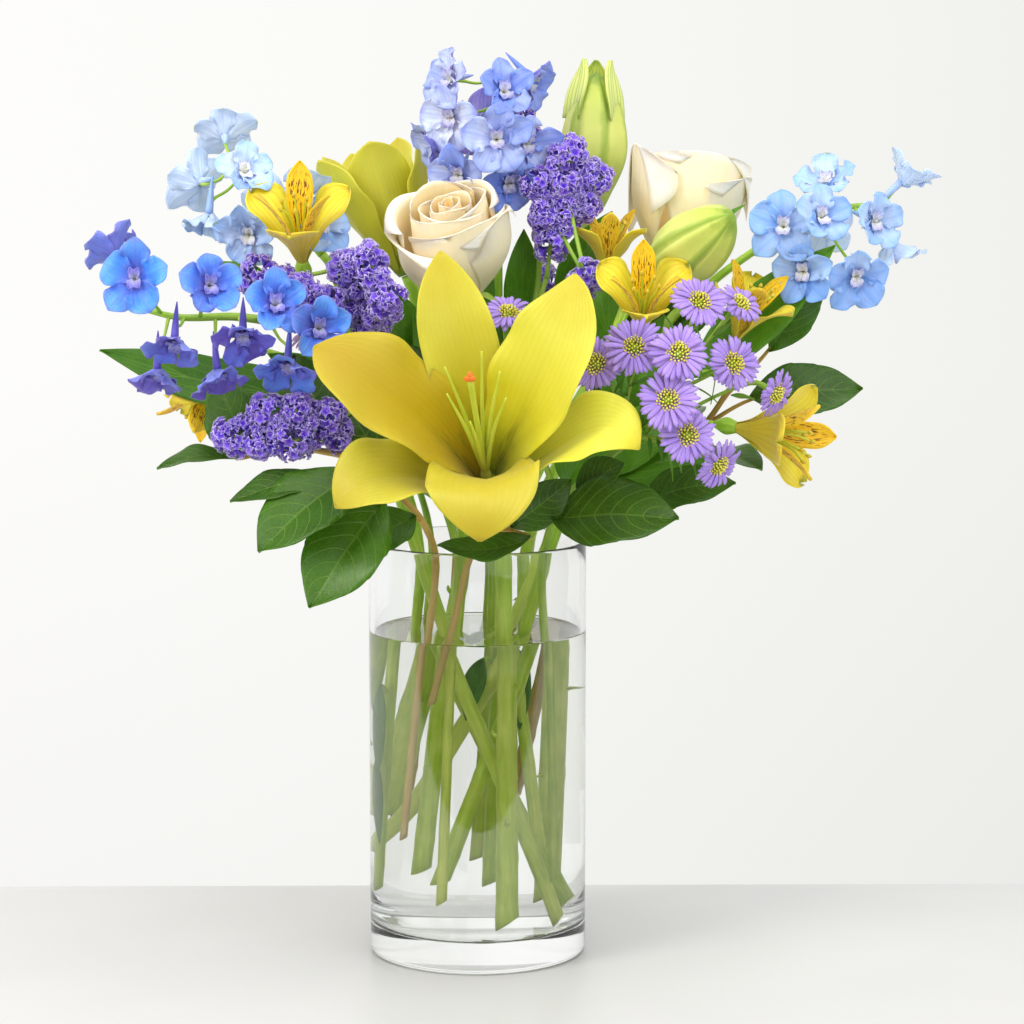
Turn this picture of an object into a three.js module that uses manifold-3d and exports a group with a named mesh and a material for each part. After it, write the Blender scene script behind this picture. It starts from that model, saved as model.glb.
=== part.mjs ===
// A mixed flower arrangement in a cylinder vase of clear glass, with a large yellow lily in front.
// Millimetres, +Z up, the origin at the middle of the vase's foot, and the viewer on the -Y side.
import * as THREE from "three";
import { mergeVertices } from "three/addons/utils/BufferGeometryUtils.js";
import Module from "manifold-3d";

const wasm = await Module();
wasm.setup();

// ---------------------------------------------------------------- driving dimensions
const VASE = { radius: 51, height: 196, wall: 2.5, base: 14, foot: 1.5, sides: 30 };
const WATER_LEVEL = 153;
const NECK = 190; // the stems run straight from foot to this height, and fan out above it
const GAP = 0.3; // between pieces that rest against each other
const BLADE = 1.1; // thickness of a petal or leaf along its middle

const COLOUR = {
  glass: "#eef4f2",
  water: "#e6efea",
  lily: "#e8d21c",
  lilyBack: "#dccb35",
  pollen: "#c9d42a",
  bud: "#d3dd83",
  rose: "#f8e3bd",
  delphiniumLeft: "#4a78e0",
  delphiniumPale: "#9fb8ea",
  statice: "#7a4cc8",
  aster: "#a184d8",
  alstroemeria: "#f0c41a",
  stem: "#7ea53c",
  foliage: "#356b1c",
};

// ---------------------------------------------------------------- small geometry kit
const V = (p) => new THREE.Vector3(p[0], p[1], p[2]);
const mix = (a, b, t) => a + (b - a) * t;

// A closed body through rings of points. A ring of a single point closes that end to a tip. In a paired one
// the second half of each ring lies under its first, so both are split the same way and can't cross.
function loft(rings, paired = false) {
  const points = [];
  const start = rings.map((ring) => {
    const first = points.length;
    points.push(...ring);
    return first;
  });
  const index = [];
  for (let i = 0; i + 1 < rings.length; i++) {
    const [a, b] = [rings[i].length, rings[i + 1].length];
    const n = Math.max(a, b);
    for (let j = 0; j < n; j++) {
      const k = (j + 1) % n;
      const [p, q] = a === 1 ? [start[i], start[i]] : [start[i] + j, start[i] + k];
      const [s, r] = b === 1 ? [start[i + 1], start[i + 1]] : [start[i + 1] + j, start[i + 1] + k];
      if (paired && a > 1 && b > 1 && j >= n / 2) {
        index.push(p, q, s, q, r, s);
        continue;
      }
      if (a > 1) index.push(p, q, r);
      if (b > 1) index.push(p, r, s);
    }
  }
  const last = rings.length - 1;
  for (const [end, flip] of [[0, true], [last, false]]) {
    const n = rings[end].length;
    const cap = (a, b, c) => index.push(...[a, flip ? c : b, flip ? b : c].map((k) => start[end] + (k % n)));
    for (let j = 0; paired && n > 1 && j < n / 2; j++) {
      if (j + 1 < n / 2) cap(j, j + 1, n - j - 1);
      if (j > 0) cap(j, n - j - 1, n - j);
    }
    for (let j = 1; !paired && j + 1 < n; j++) cap(0, j, j + 1);
  }
  return facingOut(points, index);
}

// A geometry from points and triangles, turned round where its faces point inwards.
function facingOut(points, index) {
  let six = 0;
  const cross = new THREE.Vector3();
  for (let i = 0; i < index.length; i += 3) {
    const [a, b, c] = [points[index[i]], points[index[i + 1]], points[index[i + 2]]];
    six += a.dot(cross.crossVectors(b, c));
  }
  if (six < 0) for (let i = 0; i < index.length; i += 3) [index[i], index[i + 1]] = [index[i + 1], index[i]];
  const geometry = new THREE.BufferGeometry().setFromPoints(points);
  return geometry.setIndex(index);
}

// A round rod through points, with a radius at each. A slant above 0 cuts the first end at an angle.
function rod(points, radii, sides = 6, slant = 0) {
  const line = points.map(V);
  const tangent = line.map((p, i) => {
    const ahead = line[Math.min(i + 1, line.length - 1)];
    const behind = line[Math.max(i - 1, 0)];
    return ahead.clone().sub(behind).normalize();
  });
  let side = new THREE.Vector3(0, 1, 0).cross(tangent[0]);
  if (side.lengthSq() < 0.02) side = new THREE.Vector3(1, 0, 0).cross(tangent[0]);
  return loft(
    line.map((p, i) => {
      side.sub(tangent[i].clone().multiplyScalar(side.dot(tangent[i]))).normalize();
      const other = tangent[i].clone().cross(side);
      const radius = Array.isArray(radii) ? radii[i] : radii;
      if (radius === 0) return [p.clone()];
      return Array.from({ length: sides }, (_, j) => {
        const angle = (j / sides) * 2 * Math.PI;
        const at = p.clone().addScaledVector(side, radius * Math.cos(angle));
        at.addScaledVector(other, radius * Math.sin(angle));
        return i === 0 && slant ? at.addScaledVector(tangent[0], slant * radius * Math.cos(angle)) : at;
      });
    }),
  );
}

// Points along a smooth curve through the given ones.
const smooth = (points, pieces) =>
  new THREE.CatmullRomCurve3(points.map(V), false, "centripetal").getPoints(pieces).map((p) => p.toArray());

// A petal or leaf: a thin body with sharp edges along a curve. side is the direction across it, or face the
// way that its upper side looks. width(t) is half its width, and cup(t) how far its edges rise.
function blade({ line, side, face, width, cup = () => 0, thick = BLADE, along = 4, across = 2, stops }) {
  const rings = [];
  const stations = stops || Array.from({ length: along + 1 }, (_, i) => i / along);
  for (const t of stations) {
    const p = line.getPoint(t);
    const tangent = line.getTangent(t);
    const s = side ? V(side) : tangent.clone().cross(V(face)).negate();
    s.sub(tangent.clone().multiplyScalar(s.dot(tangent))).normalize();
    const normal = s.clone().cross(tangent).normalize();
    if (face && normal.dot(V(face)) < 0) normal.negate();
    if (t === 1) {
      rings.push([p.clone()]);
      break;
    }
    const at = (v, up) =>
      p
        .clone()
        .addScaledVector(s, width(t) * v)
        .addScaledVector(normal, cup(t) * v * v + up * (thick / 2) * (1 - v * v));
    const ring = [];
    for (let j = 0; j <= across; j++) ring.push(at((2 * j) / across - 1, 1));
    for (let j = across - 1; j > 0; j--) ring.push(at((2 * j) / across - 1, -1));
    rings.push(ring);
  }
  return loft(rings, true);
}

const bezier = (a, b, c, d) => new THREE.CubicBezierCurve3(V(a), V(b), V(c), V(d));

// A frame at a place with +Z along the axis. Azimuth 0 is to the viewer's right and 90 is up.
function frameAt(place, axis, roll = 0, scale = 1) {
  const z = V(axis).normalize();
  const up = Math.abs(z.z) > 0.97 ? new THREE.Vector3(0, 1, 0) : new THREE.Vector3(0, 0, 1);
  const x = up.cross(z).normalize();
  const y = z.clone().cross(x);
  const turn = new THREE.Matrix4().makeRotationZ(THREE.MathUtils.degToRad(roll));
  return new THREE.Matrix4()
    .makeBasis(x, y, z)
    .multiply(turn)
    .scale(new THREE.Vector3(scale, scale, scale))
    .setPosition(V(place));
}

// A petal in a flower's own frame: its midrib is a curve of four [outward, forward] points at an azimuth.
function petal(azimuth, midrib, options) {
  const angle = THREE.MathUtils.degToRad(azimuth);
  const [c, s] = [Math.cos(angle), Math.sin(angle)];
  const [p0, p1, p2, p3] = midrib.map(([r, z]) => [r * c, r * s, z]);
  return blade({ line: bezier(p0, p1, p2, p3), side: [s, -c, 0], ...options });
}

// Outline of a petal or leaf: half its width along its length, widest at the peak.
const outline = (half, base = 0.25, peak = 0.5) => (t) => {
  const bend = Math.pow(t, Math.log(0.5) / Math.log(peak));
  return mix(half * base, half, Math.sin(Math.PI * bend)) * (t > 0.97 ? 0.3 : 1);
};

// A whole corolla as one body. corners hold [share of a petal's angle, reach, rise] round each petal. dish is
// the radius and height of the ring round the middle, which rises to the knob and hangs down to the root.
function corolla({ petals, corners, dish, knob, root }) {
  const ring = (place) => {
    const points = [];
    for (let k = 0; k < petals; k++) {
      for (const [share, reach, rise] of corners) {
        const angle = ((k + share) / petals) * 2 * Math.PI + Math.PI / 2;
        const [r, z] = place(reach, rise);
        points.push(new THREE.Vector3(r * Math.cos(angle), r * Math.sin(angle), z));
      }
    }
    return points;
  };
  const rim = ring((reach, rise) => [reach, rise]);
  const middle = ring(() => dish);
  return loft([[new THREE.Vector3(0, 0, root)], rim, middle, [new THREE.Vector3(0, 0, knob)]]);
}

function solidOf(geometry) {
  const plain = new THREE.BufferGeometry().setAttribute("position", geometry.getAttribute("position"));
  plain.setIndex(geometry.index);
  const merged = mergeVertices(plain, 1e-4);
  const mesh = { numProp: 3, vertProperties: merged.attributes.position.array };
  return new wasm.Manifold(new wasm.Mesh({ ...mesh, triVerts: new Uint32Array(merged.index.array) }));
}

function geometryOf(solid) {
  const mesh = solid.getMesh();
  const points = new Float32Array(mesh.numVert * 3);
  for (let i = 0; i < mesh.numVert; i++) {
    points.set(mesh.vertProperties.subarray(i * mesh.numProp, i * mesh.numProp + 3), 3 * i);
  }
  const geometry = new THREE.BufferGeometry().setAttribute("position", new THREE.BufferAttribute(points, 3));
  return geometry.setIndex(new THREE.BufferAttribute(new Uint32Array(mesh.triVerts), 1));
}

const join = (geometries) => geometryOf(geometries.map(solidOf).reduce((all, one) => all.add(one)));
const cut = (geometry, others) =>
  geometryOf(others.map(solidOf).reduce((all, one) => all.subtract(one), solidOf(geometry)));

const part = new THREE.Group();
function add(name, geometry, colour, look = {}) {
  geometry.computeVertexNormals();
  const material = new THREE.MeshStandardMaterial({ color: colour, roughness: 0.6, metalness: 0, ...look });
  const mesh = new THREE.Mesh(geometry, material);
  mesh.name = name;
  part.add(mesh);
}

// ---------------------------------------------------------------- the cut stems, foot first
// foot and neck are where each stem stands in the vase. Below the neck the stems lie in layers of depth,
// so that they cross only as seen from the front. route leads on above the neck.
const STEMS = {
  lily_front: { r: 4.8, foot: [12, -27, 20], neck: [12, -27, NECK], route: [[12, -28, 207]] },
  lily_back: {
    r: 4.4, foot: [-27, 25.5, 62], neck: [-6, 25.5, NECK],
    route: [[-9, 28, 225], [-17, 33, 265]],
  },
  rose_left: { r: 3.6, foot: [-20, 0.5, 40], neck: [-7, 0.5, NECK], route: [[-5, 3, 240], [-4, 4, 280]] },
  rose_right: { r: 3.6, foot: [20, 25.5, 22], neck: [24, 25.5, NECK], route: [[42, 30, 235], [74, 30, 290]] },
  delphinium_left: {
    r: 3.3, foot: [33, -16.5, 18], neck: [-27, -16.5, NECK],
    route: [[-38, -17, 225], [-54, -22, 270], [-72, -32, 293]],
  },
  delphinium_upper_left: {
    r: 2.8, foot: [28, 16.5, 20], neck: [-28, 16.5, NECK],
    route: [[-40, 18, 232], [-52, 16, 280], [-66, 8, 318]],
  },
  delphinium_top: {
    r: 2.8, foot: [4, 25.5, 30], neck: [8, 25.5, NECK],
    route: [[9, 26, 240], [10, 22, 300]],
  },
  delphinium_right: {
    r: 3.2, foot: [-39, 8.5, 46], bend: [-24, 8.5, 66], neck: [32, 8.5, NECK],
    route: [[46, 10, 225], [66, 16, 262], [90, 14, 297]],
  },
  statice_left: {
    r: 2.3, foot: [-15, -27, 30], neck: [-9, -27, NECK],
    route: [[-17, -30, 220], [-34, -34, 248], [-46, -34, 268]],
  },
  statice_centre: { r: 2.5, foot: [22, 0.5, 50], neck: [8, 0.5, NECK], route: [[12, 3, 240], [24, 4, 290]] },
  statice_back: { r: 2.3, foot: [0, 37, 40], neck: [6, 37, NECK], route: [[4, 44, 230], [0, 50, 265]] },
  aster_right: {
    r: 2.2, foot: [33, -27, 40], neck: [30, -27, NECK],
    route: [[38, -30, 215], [56, -40, 236], [72, -52, 250]],
  },
  aster_back: { r: 2, foot: [-30, 30, 80], neck: [-22, 33, NECK], route: [[-30, 42, 220], [-44, 48, 245]] },
  alstroemeria_left: {
    r: 2.8, foot: [-38, 0.5, 30], neck: [-27, 0.5, NECK],
    route: [[-36, 0, 230], [-50, -2, 270], [-64, -8, 305]],
  },
  alstroemeria_right: {
    r: 3.4, foot: [-14, -8, 36], neck: [33, -8, NECK],
    route: [[42, -8, 215], [58, -6, 250], [66, -4, 270]],
  },
  salal_left: {
    r: 1.9, foot: [-32, -27, 60], neck: [-19, -29, NECK],
    route: [[-24, -40, 208], [-34, -50, 222], [-48, -52, 236], [-72, -47, 243], [-96, -42, 243]],
  },
  salal_front: {
    r: 1.7, foot: [-20, -37, 125], neck: [-4, -38, NECK],
    route: [[2, -46, 201], [12, -53, 208], [26, -55, 214], [44, -52, 220], [64, -46, 220]],
  },
  salal_right: {
    r: 1.9, foot: [10, 34, 70], neck: [26, 34, NECK],
    route: [[29, 36, 200], [46, 40, 216], [74, 30, 232], [104, 14, 246], [118, 4, 266]],
  },
  salal_back: {
    r: 1.9, foot: [-20, 36, 60], neck: [-10, 37, NECK],
    route: [[-12, 52, 214], [-8, 66, 240], [0, 70, 262]],
  },
};

const straightPart = ({ foot, bend, neck }) => (bend ? [foot, bend, neck] : [foot, neck]);

function stemRod(stem, ends = []) {
  const above = smooth([stem.neck, ...stem.route, ...ends], stem.route.length + ends.length).slice(1);
  const points = [...straightPart(stem), ...above];
  const radii = points.map((_, i) => stem.r * mix(1, 0.72, i / (points.length - 1)));
  return rod(points, radii, 5, 0.7);
}

// A side branch or flower stalk from a place inside the stem.
const twig = (points, radius, sides) =>
  rod(smooth(points, points.length === 2 ? 1 : points.length), radius, sides);

// A leaf whose stalk starts inside the stem, at from, and whose blade runs from base to tip.
function leaf({ from, base, tip, face, half, bend = 4 }) {
  const middle = V(base).lerp(V(tip), 0.5).addScaledVector(V(face).normalize(), bend);
  const stalk = 1 / 3; // the curve's share from the stem to the blade
  const blades = [0, 0.18, 0.48, 0.8, 1].map((t) => mix(stalk, 1, t));
  const shape = outline(half, 0.1, 0.42);
  return blade({
    line: new THREE.CatmullRomCurve3([V(from), V(base), middle, V(tip)]),
    face,
    width: (t) => (t < stalk ? 1.1 : shape((t - stalk) / (1 - stalk))),
    cup: (t) => (t < stalk ? 0 : half * 0.16),
    thick: 1.2,
    stops: [0, ...blades],
  });
}

// ---------------------------------------------------------------- vase and water
const lathe = (profile, sides) =>
  new THREE.LatheGeometry(
    profile.map(([r, z]) => new THREE.Vector2(r, z)),
    sides,
  ).rotateX(Math.PI / 2);

{
  const { radius, height, wall, base, foot, sides } = VASE;
  const inner = radius - wall;
  const profile = [
    [0, 0], [radius - 2 * foot, 0], [radius, foot], [radius, height - 0.8], [radius - wall / 2, height],
    [inner, height - 0.8], [inner, base + 3], [inner - 3, base], [0, base],
  ];
  add("vase", lathe(profile, sides), COLOUR.glass, { roughness: 0.03, transparent: true, opacity: 0.35 });
  const body = [
    [0, base + GAP], [inner - 3 - GAP, base + GAP], [inner - GAP, base + 3 + GAP],
    [inner - GAP, WATER_LEVEL], [0, WATER_LEVEL],
  ];
  const holes = Object.values(STEMS).map((stem) => {
    const line = straightPart(stem);
    const down = V(line[0]).sub(V(line[1])).normalize();
    const foot = V(line[0]).addScaledVector(down, 0.7 * stem.r + GAP);
    foot.z = Math.max(foot.z, base + GAP - 0.1);
    return rod([foot.toArray(), ...line.slice(1)], stem.r + 0.5, 5);
  });
  const look = { roughness: 0.02, transparent: true, opacity: 0.3 };
  add("water", cut(lathe(body, sides), holes), COLOUR.water, look);
}

// ---------------------------------------------------------------- lilies
// Each tepal runs from the throat past two guide points to its tip.
const LILY_FRONT = {
  base: [5, -51, 227],
  axis: [-0.12, -0.74, 0.66],
  tepals: {
    upper_right: { guides: [[14, -78, 256], [38, -106, 290]], tip: [42.5, -95, 324], half: 24, inner: 1 },
    upper_left: { guides: [[-14, -80, 254], [-46, -112, 282]], tip: [-70, -102, 294], half: 24, inner: 1 },
    lower: { guides: [[5, -86, 238], [2, -130, 244]], tip: [1, -118, 212], half: 25, inner: 1 },
    top: { guides: [[3, -66, 264], [-12, -88, 300]], tip: [-16, -76, 333], half: 17, inner: 0 },
    right: { guides: [[30, -68, 238], [54, -104, 274]], tip: [69.6, -100, 250], half: 18, inner: 0 },
    lower_left: { guides: [[-18, -74, 230], [-48, -108, 250]], tip: [-60, -96, 224], half: 18, inner: 0 },
  },
  stamens: [
    [-14, -100, 285], [-13, -108, 274], [10, -100, 283], [12.5, -106, 272], [2, -104, 292], [-3, -108, 262],
  ],
  style: [-3, -112, 281],
};

const LILY_BACK = {
  base: [-33, 36, 318],
  axis: [-0.34, 0.05, 0.94],
  // azimuth, reach outward, height, half width and inner or outer tepal
  tepals: [
    [262, 20, 66, 16, 1], [322, 28, 64, 12, 0], [22, 21, 64, 16, 1],
    [82, 32, 60, 12, 0], [142, 24, 63, 16, 1], [202, 28, 64, 12, 0],
  ],
  stamens: [[8, 52], [9, 50], [8, 54], [9, 51], [8, 53], [9, 50]],
};

const pointOn = (frame, p) => V(p).applyMatrix4(frame).toArray();

function lilyFront() {
  const { base, axis, tepals, stamens, style } = LILY_FRONT;
  const frame = frameAt(base, axis);
  const a = V(axis).normalize();
  const parts = [rod([base, pointOn(frame, [0, 0, 5])], [4.4, 7.2], 8)];
  for (const { guides, tip, half, inner } of Object.values(tepals)) {
    const out = V(tip).sub(V(base));
    out.addScaledVector(a, -out.dot(a)).normalize();
    const start = V(base).addScaledVector(a, 2).addScaledVector(out, inner ? 4 : 5.4);
    parts.push(
      blade({
        line: bezier(start.toArray(), guides[0], guides[1], tip),
        side: out.clone().cross(a).toArray(),
        width: outline(half, 0.13, 0.58),
        cup: (t) => half * (inner ? 0.3 : 0.34) * Math.sin(Math.PI * Math.pow(t, 0.7)),
        thick: 1.4,
        along: 5,
        across: 4,
      }),
    );
  }
  add("lily_front_bloom", join(parts), COLOUR.lily);
  const heart = [0, 0, 5 + GAP];
  const threads = [rod([pointOn(frame, heart), pointOn(frame, [0, 0, 16])], [2.6, 1.6], 5)];
  for (const tip of [...stamens, style]) {
    const near = pointOn(frame, [0, 0, 10]);
    const mid = V(near).lerp(V(tip), 0.5).addScaledVector(a, 6).toArray();
    threads.push(rod([near, mid, tip], tip === style ? [1.5, 1.3, 2.2] : [1.1, 0.9, 0.8], 3));
  }
  add("lily_front_stamens", join(threads), COLOUR.pollen);
}

function lilyBack() {
  const { base, axis, tepals, stamens } = LILY_BACK;
  const frame = frameAt(base, axis);
  const parts = [rod([[0, 0, 0], [0, 0, 4]], [4.2, 6], 8)];
  for (const [azimuth, reach, high, half, inner] of tepals) {
    const [root, low, share] = inner ? [4, 13, 0.75] : [5.6, 19, 0.9];
    const midrib = [[root, 2], [low, 24], [reach * share, high * 0.8], [reach, high]];
    parts.push(
      petal(azimuth, midrib, {
        width: outline(half, 0.13, 0.58),
        cup: (t) => half * 0.4 * Math.sin(Math.PI * Math.pow(t, 0.7)),
        thick: 1.4,
        along: 5,
        across: 2,
      }),
    );
  }
  add("lily_back_bloom", join(parts).applyMatrix4(frame), COLOUR.lilyBack);
  const threads = [rod([[0, 0, 4 + GAP], [0, 0, 16]], [2.4, 1.6], 5)];
  stamens.forEach(([reach, high], i) => {
    const [c, s] = [Math.cos((i * Math.PI) / 3), Math.sin((i * Math.PI) / 3)];
    threads.push(rod([[0, 0, 9], [reach * c, reach * s, high]], 0.9, 3));
  });
  threads.push(rod([[0, 0, 12], [0, 0, 60]], [1.4, 1.8], 4));
  add("lily_back_stamens", join(threads).applyMatrix4(frame), COLOUR.pollen);
}

// A closed lily bud: six ribs round a pointed body.
const LILY_BUDS = {
  top: { base: [53, 46, 345], tip: [57, 46, 419], radius: 15.5, lips: 6 },
  right: { base: [80, -2, 319], tip: [114.5, -46, 349], radius: 15.5, lips: 0 },
};
const BUD_OUTLINE = [[0, 0.28], [0.18, 0.62], [0.45, 1], [0.68, 0.93], [0.87, 0.66], [1, 0.3]];

function lilyBud(name, { base, tip, radius, lips }) {
  const length = V(tip).distanceTo(V(base));
  const frame = frameAt(base, V(tip).sub(V(base)).toArray());
  const rings = BUD_OUTLINE.map(([t, share]) =>
    Array.from({ length: 12 }, (_, j) => {
      const angle = (j / 12) * 2 * Math.PI;
      const r = radius * share * (j % 2 ? 0.92 : 1.02);
      return new THREE.Vector3(r * Math.cos(angle), r * Math.sin(angle), (length - lips) * t);
    }),
  );
  const parts = [loft(rings)];
  for (let k = 0; k < 3 && lips; k++) {
    const angle = 90 + 120 * k;
    const lip = [[0.6, 0.7], [0.62, 0.85], [0.5, 0.93], [0.52, 1]];
    const midrib = lip.map(([r, z]) => [radius * r, length * z]);
    parts.push(petal(angle, midrib, { width: outline(7, 0.8, 0.3), thick: 2.4, along: 2 }));
  }
  add("lily_bud_" + name, join(parts).applyMatrix4(frame), COLOUR.bud);
}

// The last stretch of a stalk, which meets a bloom's base along its axis.
const seat = (place, axis, back = 7) => [
  V(place).addScaledVector(V(axis).normalize(), -back).toArray(),
  V(place).addScaledVector(V(axis).normalize(), -GAP).toArray(),
];
const towards = ({ base, tip }) => V(tip).sub(V(base)).toArray();

function lilyStems() {
  const front = STEMS.lily_front;
  const right = LILY_BUDS.right;
  add(
    "lily_front_stem",
    join([
      stemRod(front, seat(LILY_FRONT.base, LILY_FRONT.axis, 10)),
      twig([[12, -27, 198], [36, -38, 248], [60, -22, 288], ...seat(right.base, towards(right), 12)], 2.2, 5),
    ]),
    COLOUR.stem,
  );
  const back = STEMS.lily_back;
  const top = LILY_BUDS.top;
  add(
    "lily_back_stem",
    join([
      stemRod(back, seat(LILY_BACK.base, LILY_BACK.axis, 10)),
      twig([[-9, 27, 232], [14, 38, 275], [42, 45, 312], ...seat(top.base, towards(top), 8)], 2.2, 5),
    ]),
    COLOUR.stem,
  );
}

lilyFront();
lilyBack();
for (const [name, bud] of Object.entries(LILY_BUDS)) lilyBud(name, bud);
lilyStems();

// ---------------------------------------------------------------- roses
const ROSES = {
  left: { base: [-6, -4, 311], axis: [-0.16, -0.42, 0.9], turn: 0, size: 1 },
  right: { base: [93, 24, 321], axis: [0.12, 0, 0.99], turn: 40, size: 0.97 },
};
// azimuth, half angle, radius at mid height, radius at the rim and height of each petal, inner ones first
const ROSE_PETALS = [
  [90, 62, 17.5, 15, 54], [210, 62, 20, 17.5, 53], [330, 62, 22.5, 20.5, 51],
  [70, 50, 25, 30, 51], [165, 50, 27.5, 32, 48], [335, 50, 27.5, 32.5, 47], [250, 52, 30, 34, 43],
];
const ROSE_HEART = [[0, 9], [8, 12], [26, 14], [50, 6]];

// A rose petal hugs the flower, so it is bent round the axis.
function rosePetal([azimuth, spread, middle, rim, high]) {
  const [steps, across] = [4, rim > middle ? 4 : 3];
  const rings = [];
  for (let i = 0; i <= steps; i++) {
    const t = i / steps;
    const belly = middle * mix(0.3, 1, Math.sin((Math.PI / 2) * Math.min(1, t * 1.5)));
    const r = belly + (rim - middle) * Math.pow(t, 4);
    const share = Math.sqrt(Math.max(0, 1 - Math.pow(Math.max(0, t - 0.45) / 0.58, 2)));
    const half = THREE.MathUtils.degToRad(spread) * (0.55 + 0.45 * Math.min(1, t * 2)) * share;
    const at = (v, up) => {
      const angle = THREE.MathUtils.degToRad(azimuth) + v * half;
      const radius = r + 0.6 * up * (1 - v * v);
      const rise = high * t * (1 - 0.06 * v * v);
      return new THREE.Vector3(radius * Math.cos(angle), radius * Math.sin(angle), rise);
    };
    const ring = [];
    for (let j = 0; j <= across; j++) ring.push(at((2 * j) / across - 1, 1));
    for (let j = across - 1; j > 0; j--) ring.push(at((2 * j) / across - 1, -1));
    rings.push(ring);
  }
  return loft(rings, true);
}

function rose(name, { base, axis, turn, size }) {
  const rings = ROSE_HEART.map(([z, r]) =>
    Array.from({ length: 7 }, (_, j) => {
      const angle = (j / 7) * 2 * Math.PI;
      return new THREE.Vector3(r * Math.cos(angle), r * Math.sin(angle), z);
    }),
  );
  const frame = frameAt(base, axis, turn, size);
  const parts = [loft(rings), ...ROSE_PETALS.map(rosePetal)];
  add(`rose_${name}_bloom`, join(parts).applyMatrix4(frame), COLOUR.rose);
  // the green cup under the bloom has five sepals that bend down
  const hip = frameAt(base, axis);
  const corners = [[-0.16, 6, -3], [0, 19, -13], [0.16, 6, -3], [0.5, 4.4, -3.4]];
  const cup = { petals: 5, corners, dish: [3.6, -0.9], knob: -GAP, root: -9 };
  const sepals = corolla(cup).applyMatrix4(hip);
  const stalk = stemRod(STEMS["rose_" + name], [pointOn(hip, [0, 0, -16]), pointOn(hip, [0, 0, -6])]);
  add(`rose_${name}_stem`, join([stalk, sepals]), COLOUR.stem);
}
for (const [name, one] of Object.entries(ROSES)) rose(name, one);

// ---------------------------------------------------------------- delphiniums
// rachis carries on from the stem. Each floret: place, facing, how wide it opens, and where on the rachis
// its stalk starts.
const DELPHINIUMS = {
  left: {
    colour: COLOUR.delphiniumLeft,
    rachis: [[-84, -38, 299], [-108, -42, 303], [-134, -44, 303], [-152, -42, 307]],
    florets: [
      [[-151, -64, 321], [-0.15, -0.97, 0.15], 1, 0.85],
      [[-119, -64, 318], [0.4, -0.88, 0.2], 0.75, 0.6],
      [[-90, -62, 309], [0.3, -0.85, 0.4], 0.8, 0.25],
      [[-165, -42, 332], [-0.6, 0.4, 0.7], 0.7, 1],
      [[-143, -50, 280], [-0.1, -0.35, -0.93], 0.55, 0.8],
      [[-117, -56, 280], [0.3, -0.4, -0.87], 0.55, 0.5],
      [[-84, -60, 284], [-0.1, -0.6, -0.75], 0.7, 0.15],
    ],
  },
  upper_left: {
    colour: COLOUR.delphiniumPale,
    rachis: [[-72, 6, 329], [-88, 5, 349], [-102, 3, 364], [-113, 3, 369]],
    florets: [
      [[-128, 4, 361], [-0.55, 0.75, 0.3], 0.85, 1],
      [[-117, 12, 382], [-0.1, 0.72, 0.68], 0.85, 0.95],
      [[-122, -6, 348], [-0.3, -0.3, -0.9], 0.5, 0.9],
      [[-98, 18, 350], [0.2, 0.9, 0.1], 0.8, 0.5],
      [[-80, 12, 357], [0.35, 0.35, 0.86], 0.7, 0.3],
      [[-104, -12, 339], [-0.2, -0.9, -0.2], 0.7, 0.4],
    ],
  },
  top: {
    colour: COLOUR.delphiniumPale,
    rachis: [[10, 20, 330], [10, 18, 362], [9, 19, 396], [7, 20, 414]],
    florets: [
      [[-11, 8, 412], [-0.75, -0.55, 0.35], 0.8, 0.95],
      [[-11, 2, 392], [-0.5, -0.85, -0.1], 0.85, 0.8],
      [[24, 14, 409], [0.8, -0.35, -0.4], 0.6, 0.9],
      [[9, -9, 382], [0.05, -0.98, 0], 1, 0.6],
      [[-17, 10, 380], [-0.85, -0.2, -0.3], 0.65, 0.55],
      [[2, 39, 388], [-0.1, 0.95, 0.1], 0.9, 0.65],
    ],
  },
  right: {
    colour: COLOUR.delphiniumPale,
    rachis: [[96, 14, 303], [118, 12, 322], [146, 10, 340], [170, 8, 350], [186, 6, 352]],
    florets: [
      [[141, -12, 342], [-0.2, -0.95, 0.2], 1, 0.5],
      [[162, 6, 361], [-0.15, -0.5, 0.85], 0.85, 0.65],
      [[201, 5, 364], [0.5, 0.15, 0.85], 0.5, 1],
      [[192, 4, 334], [0.4, 0.1, -0.9], 0.6, 0.95],
      [[174, -12, 320], [0.15, -0.93, -0.3], 0.9, 0.75],
      [[164, 28, 340], [0.1, 0.95, 0.2], 0.85, 0.7],
    ],
  },
};
// A floret has five sepals round a small pale heart, and a spur that leaves its stalk.
function floret(open) {
  const [reach, rise] = [mix(9, 16.5, open), mix(13, 2.5, open)];
  const corners = [[-0.32, reach, rise], [0.32, reach, rise], [0.5, reach * 0.55, rise * 0.55 + 0.5]];
  const dish = [2.4, mix(5.5, 1.6, open)];
  return corolla({ petals: 5, corners, dish, knob: dish[1] + 2.6, root: -2 });
}

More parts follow.
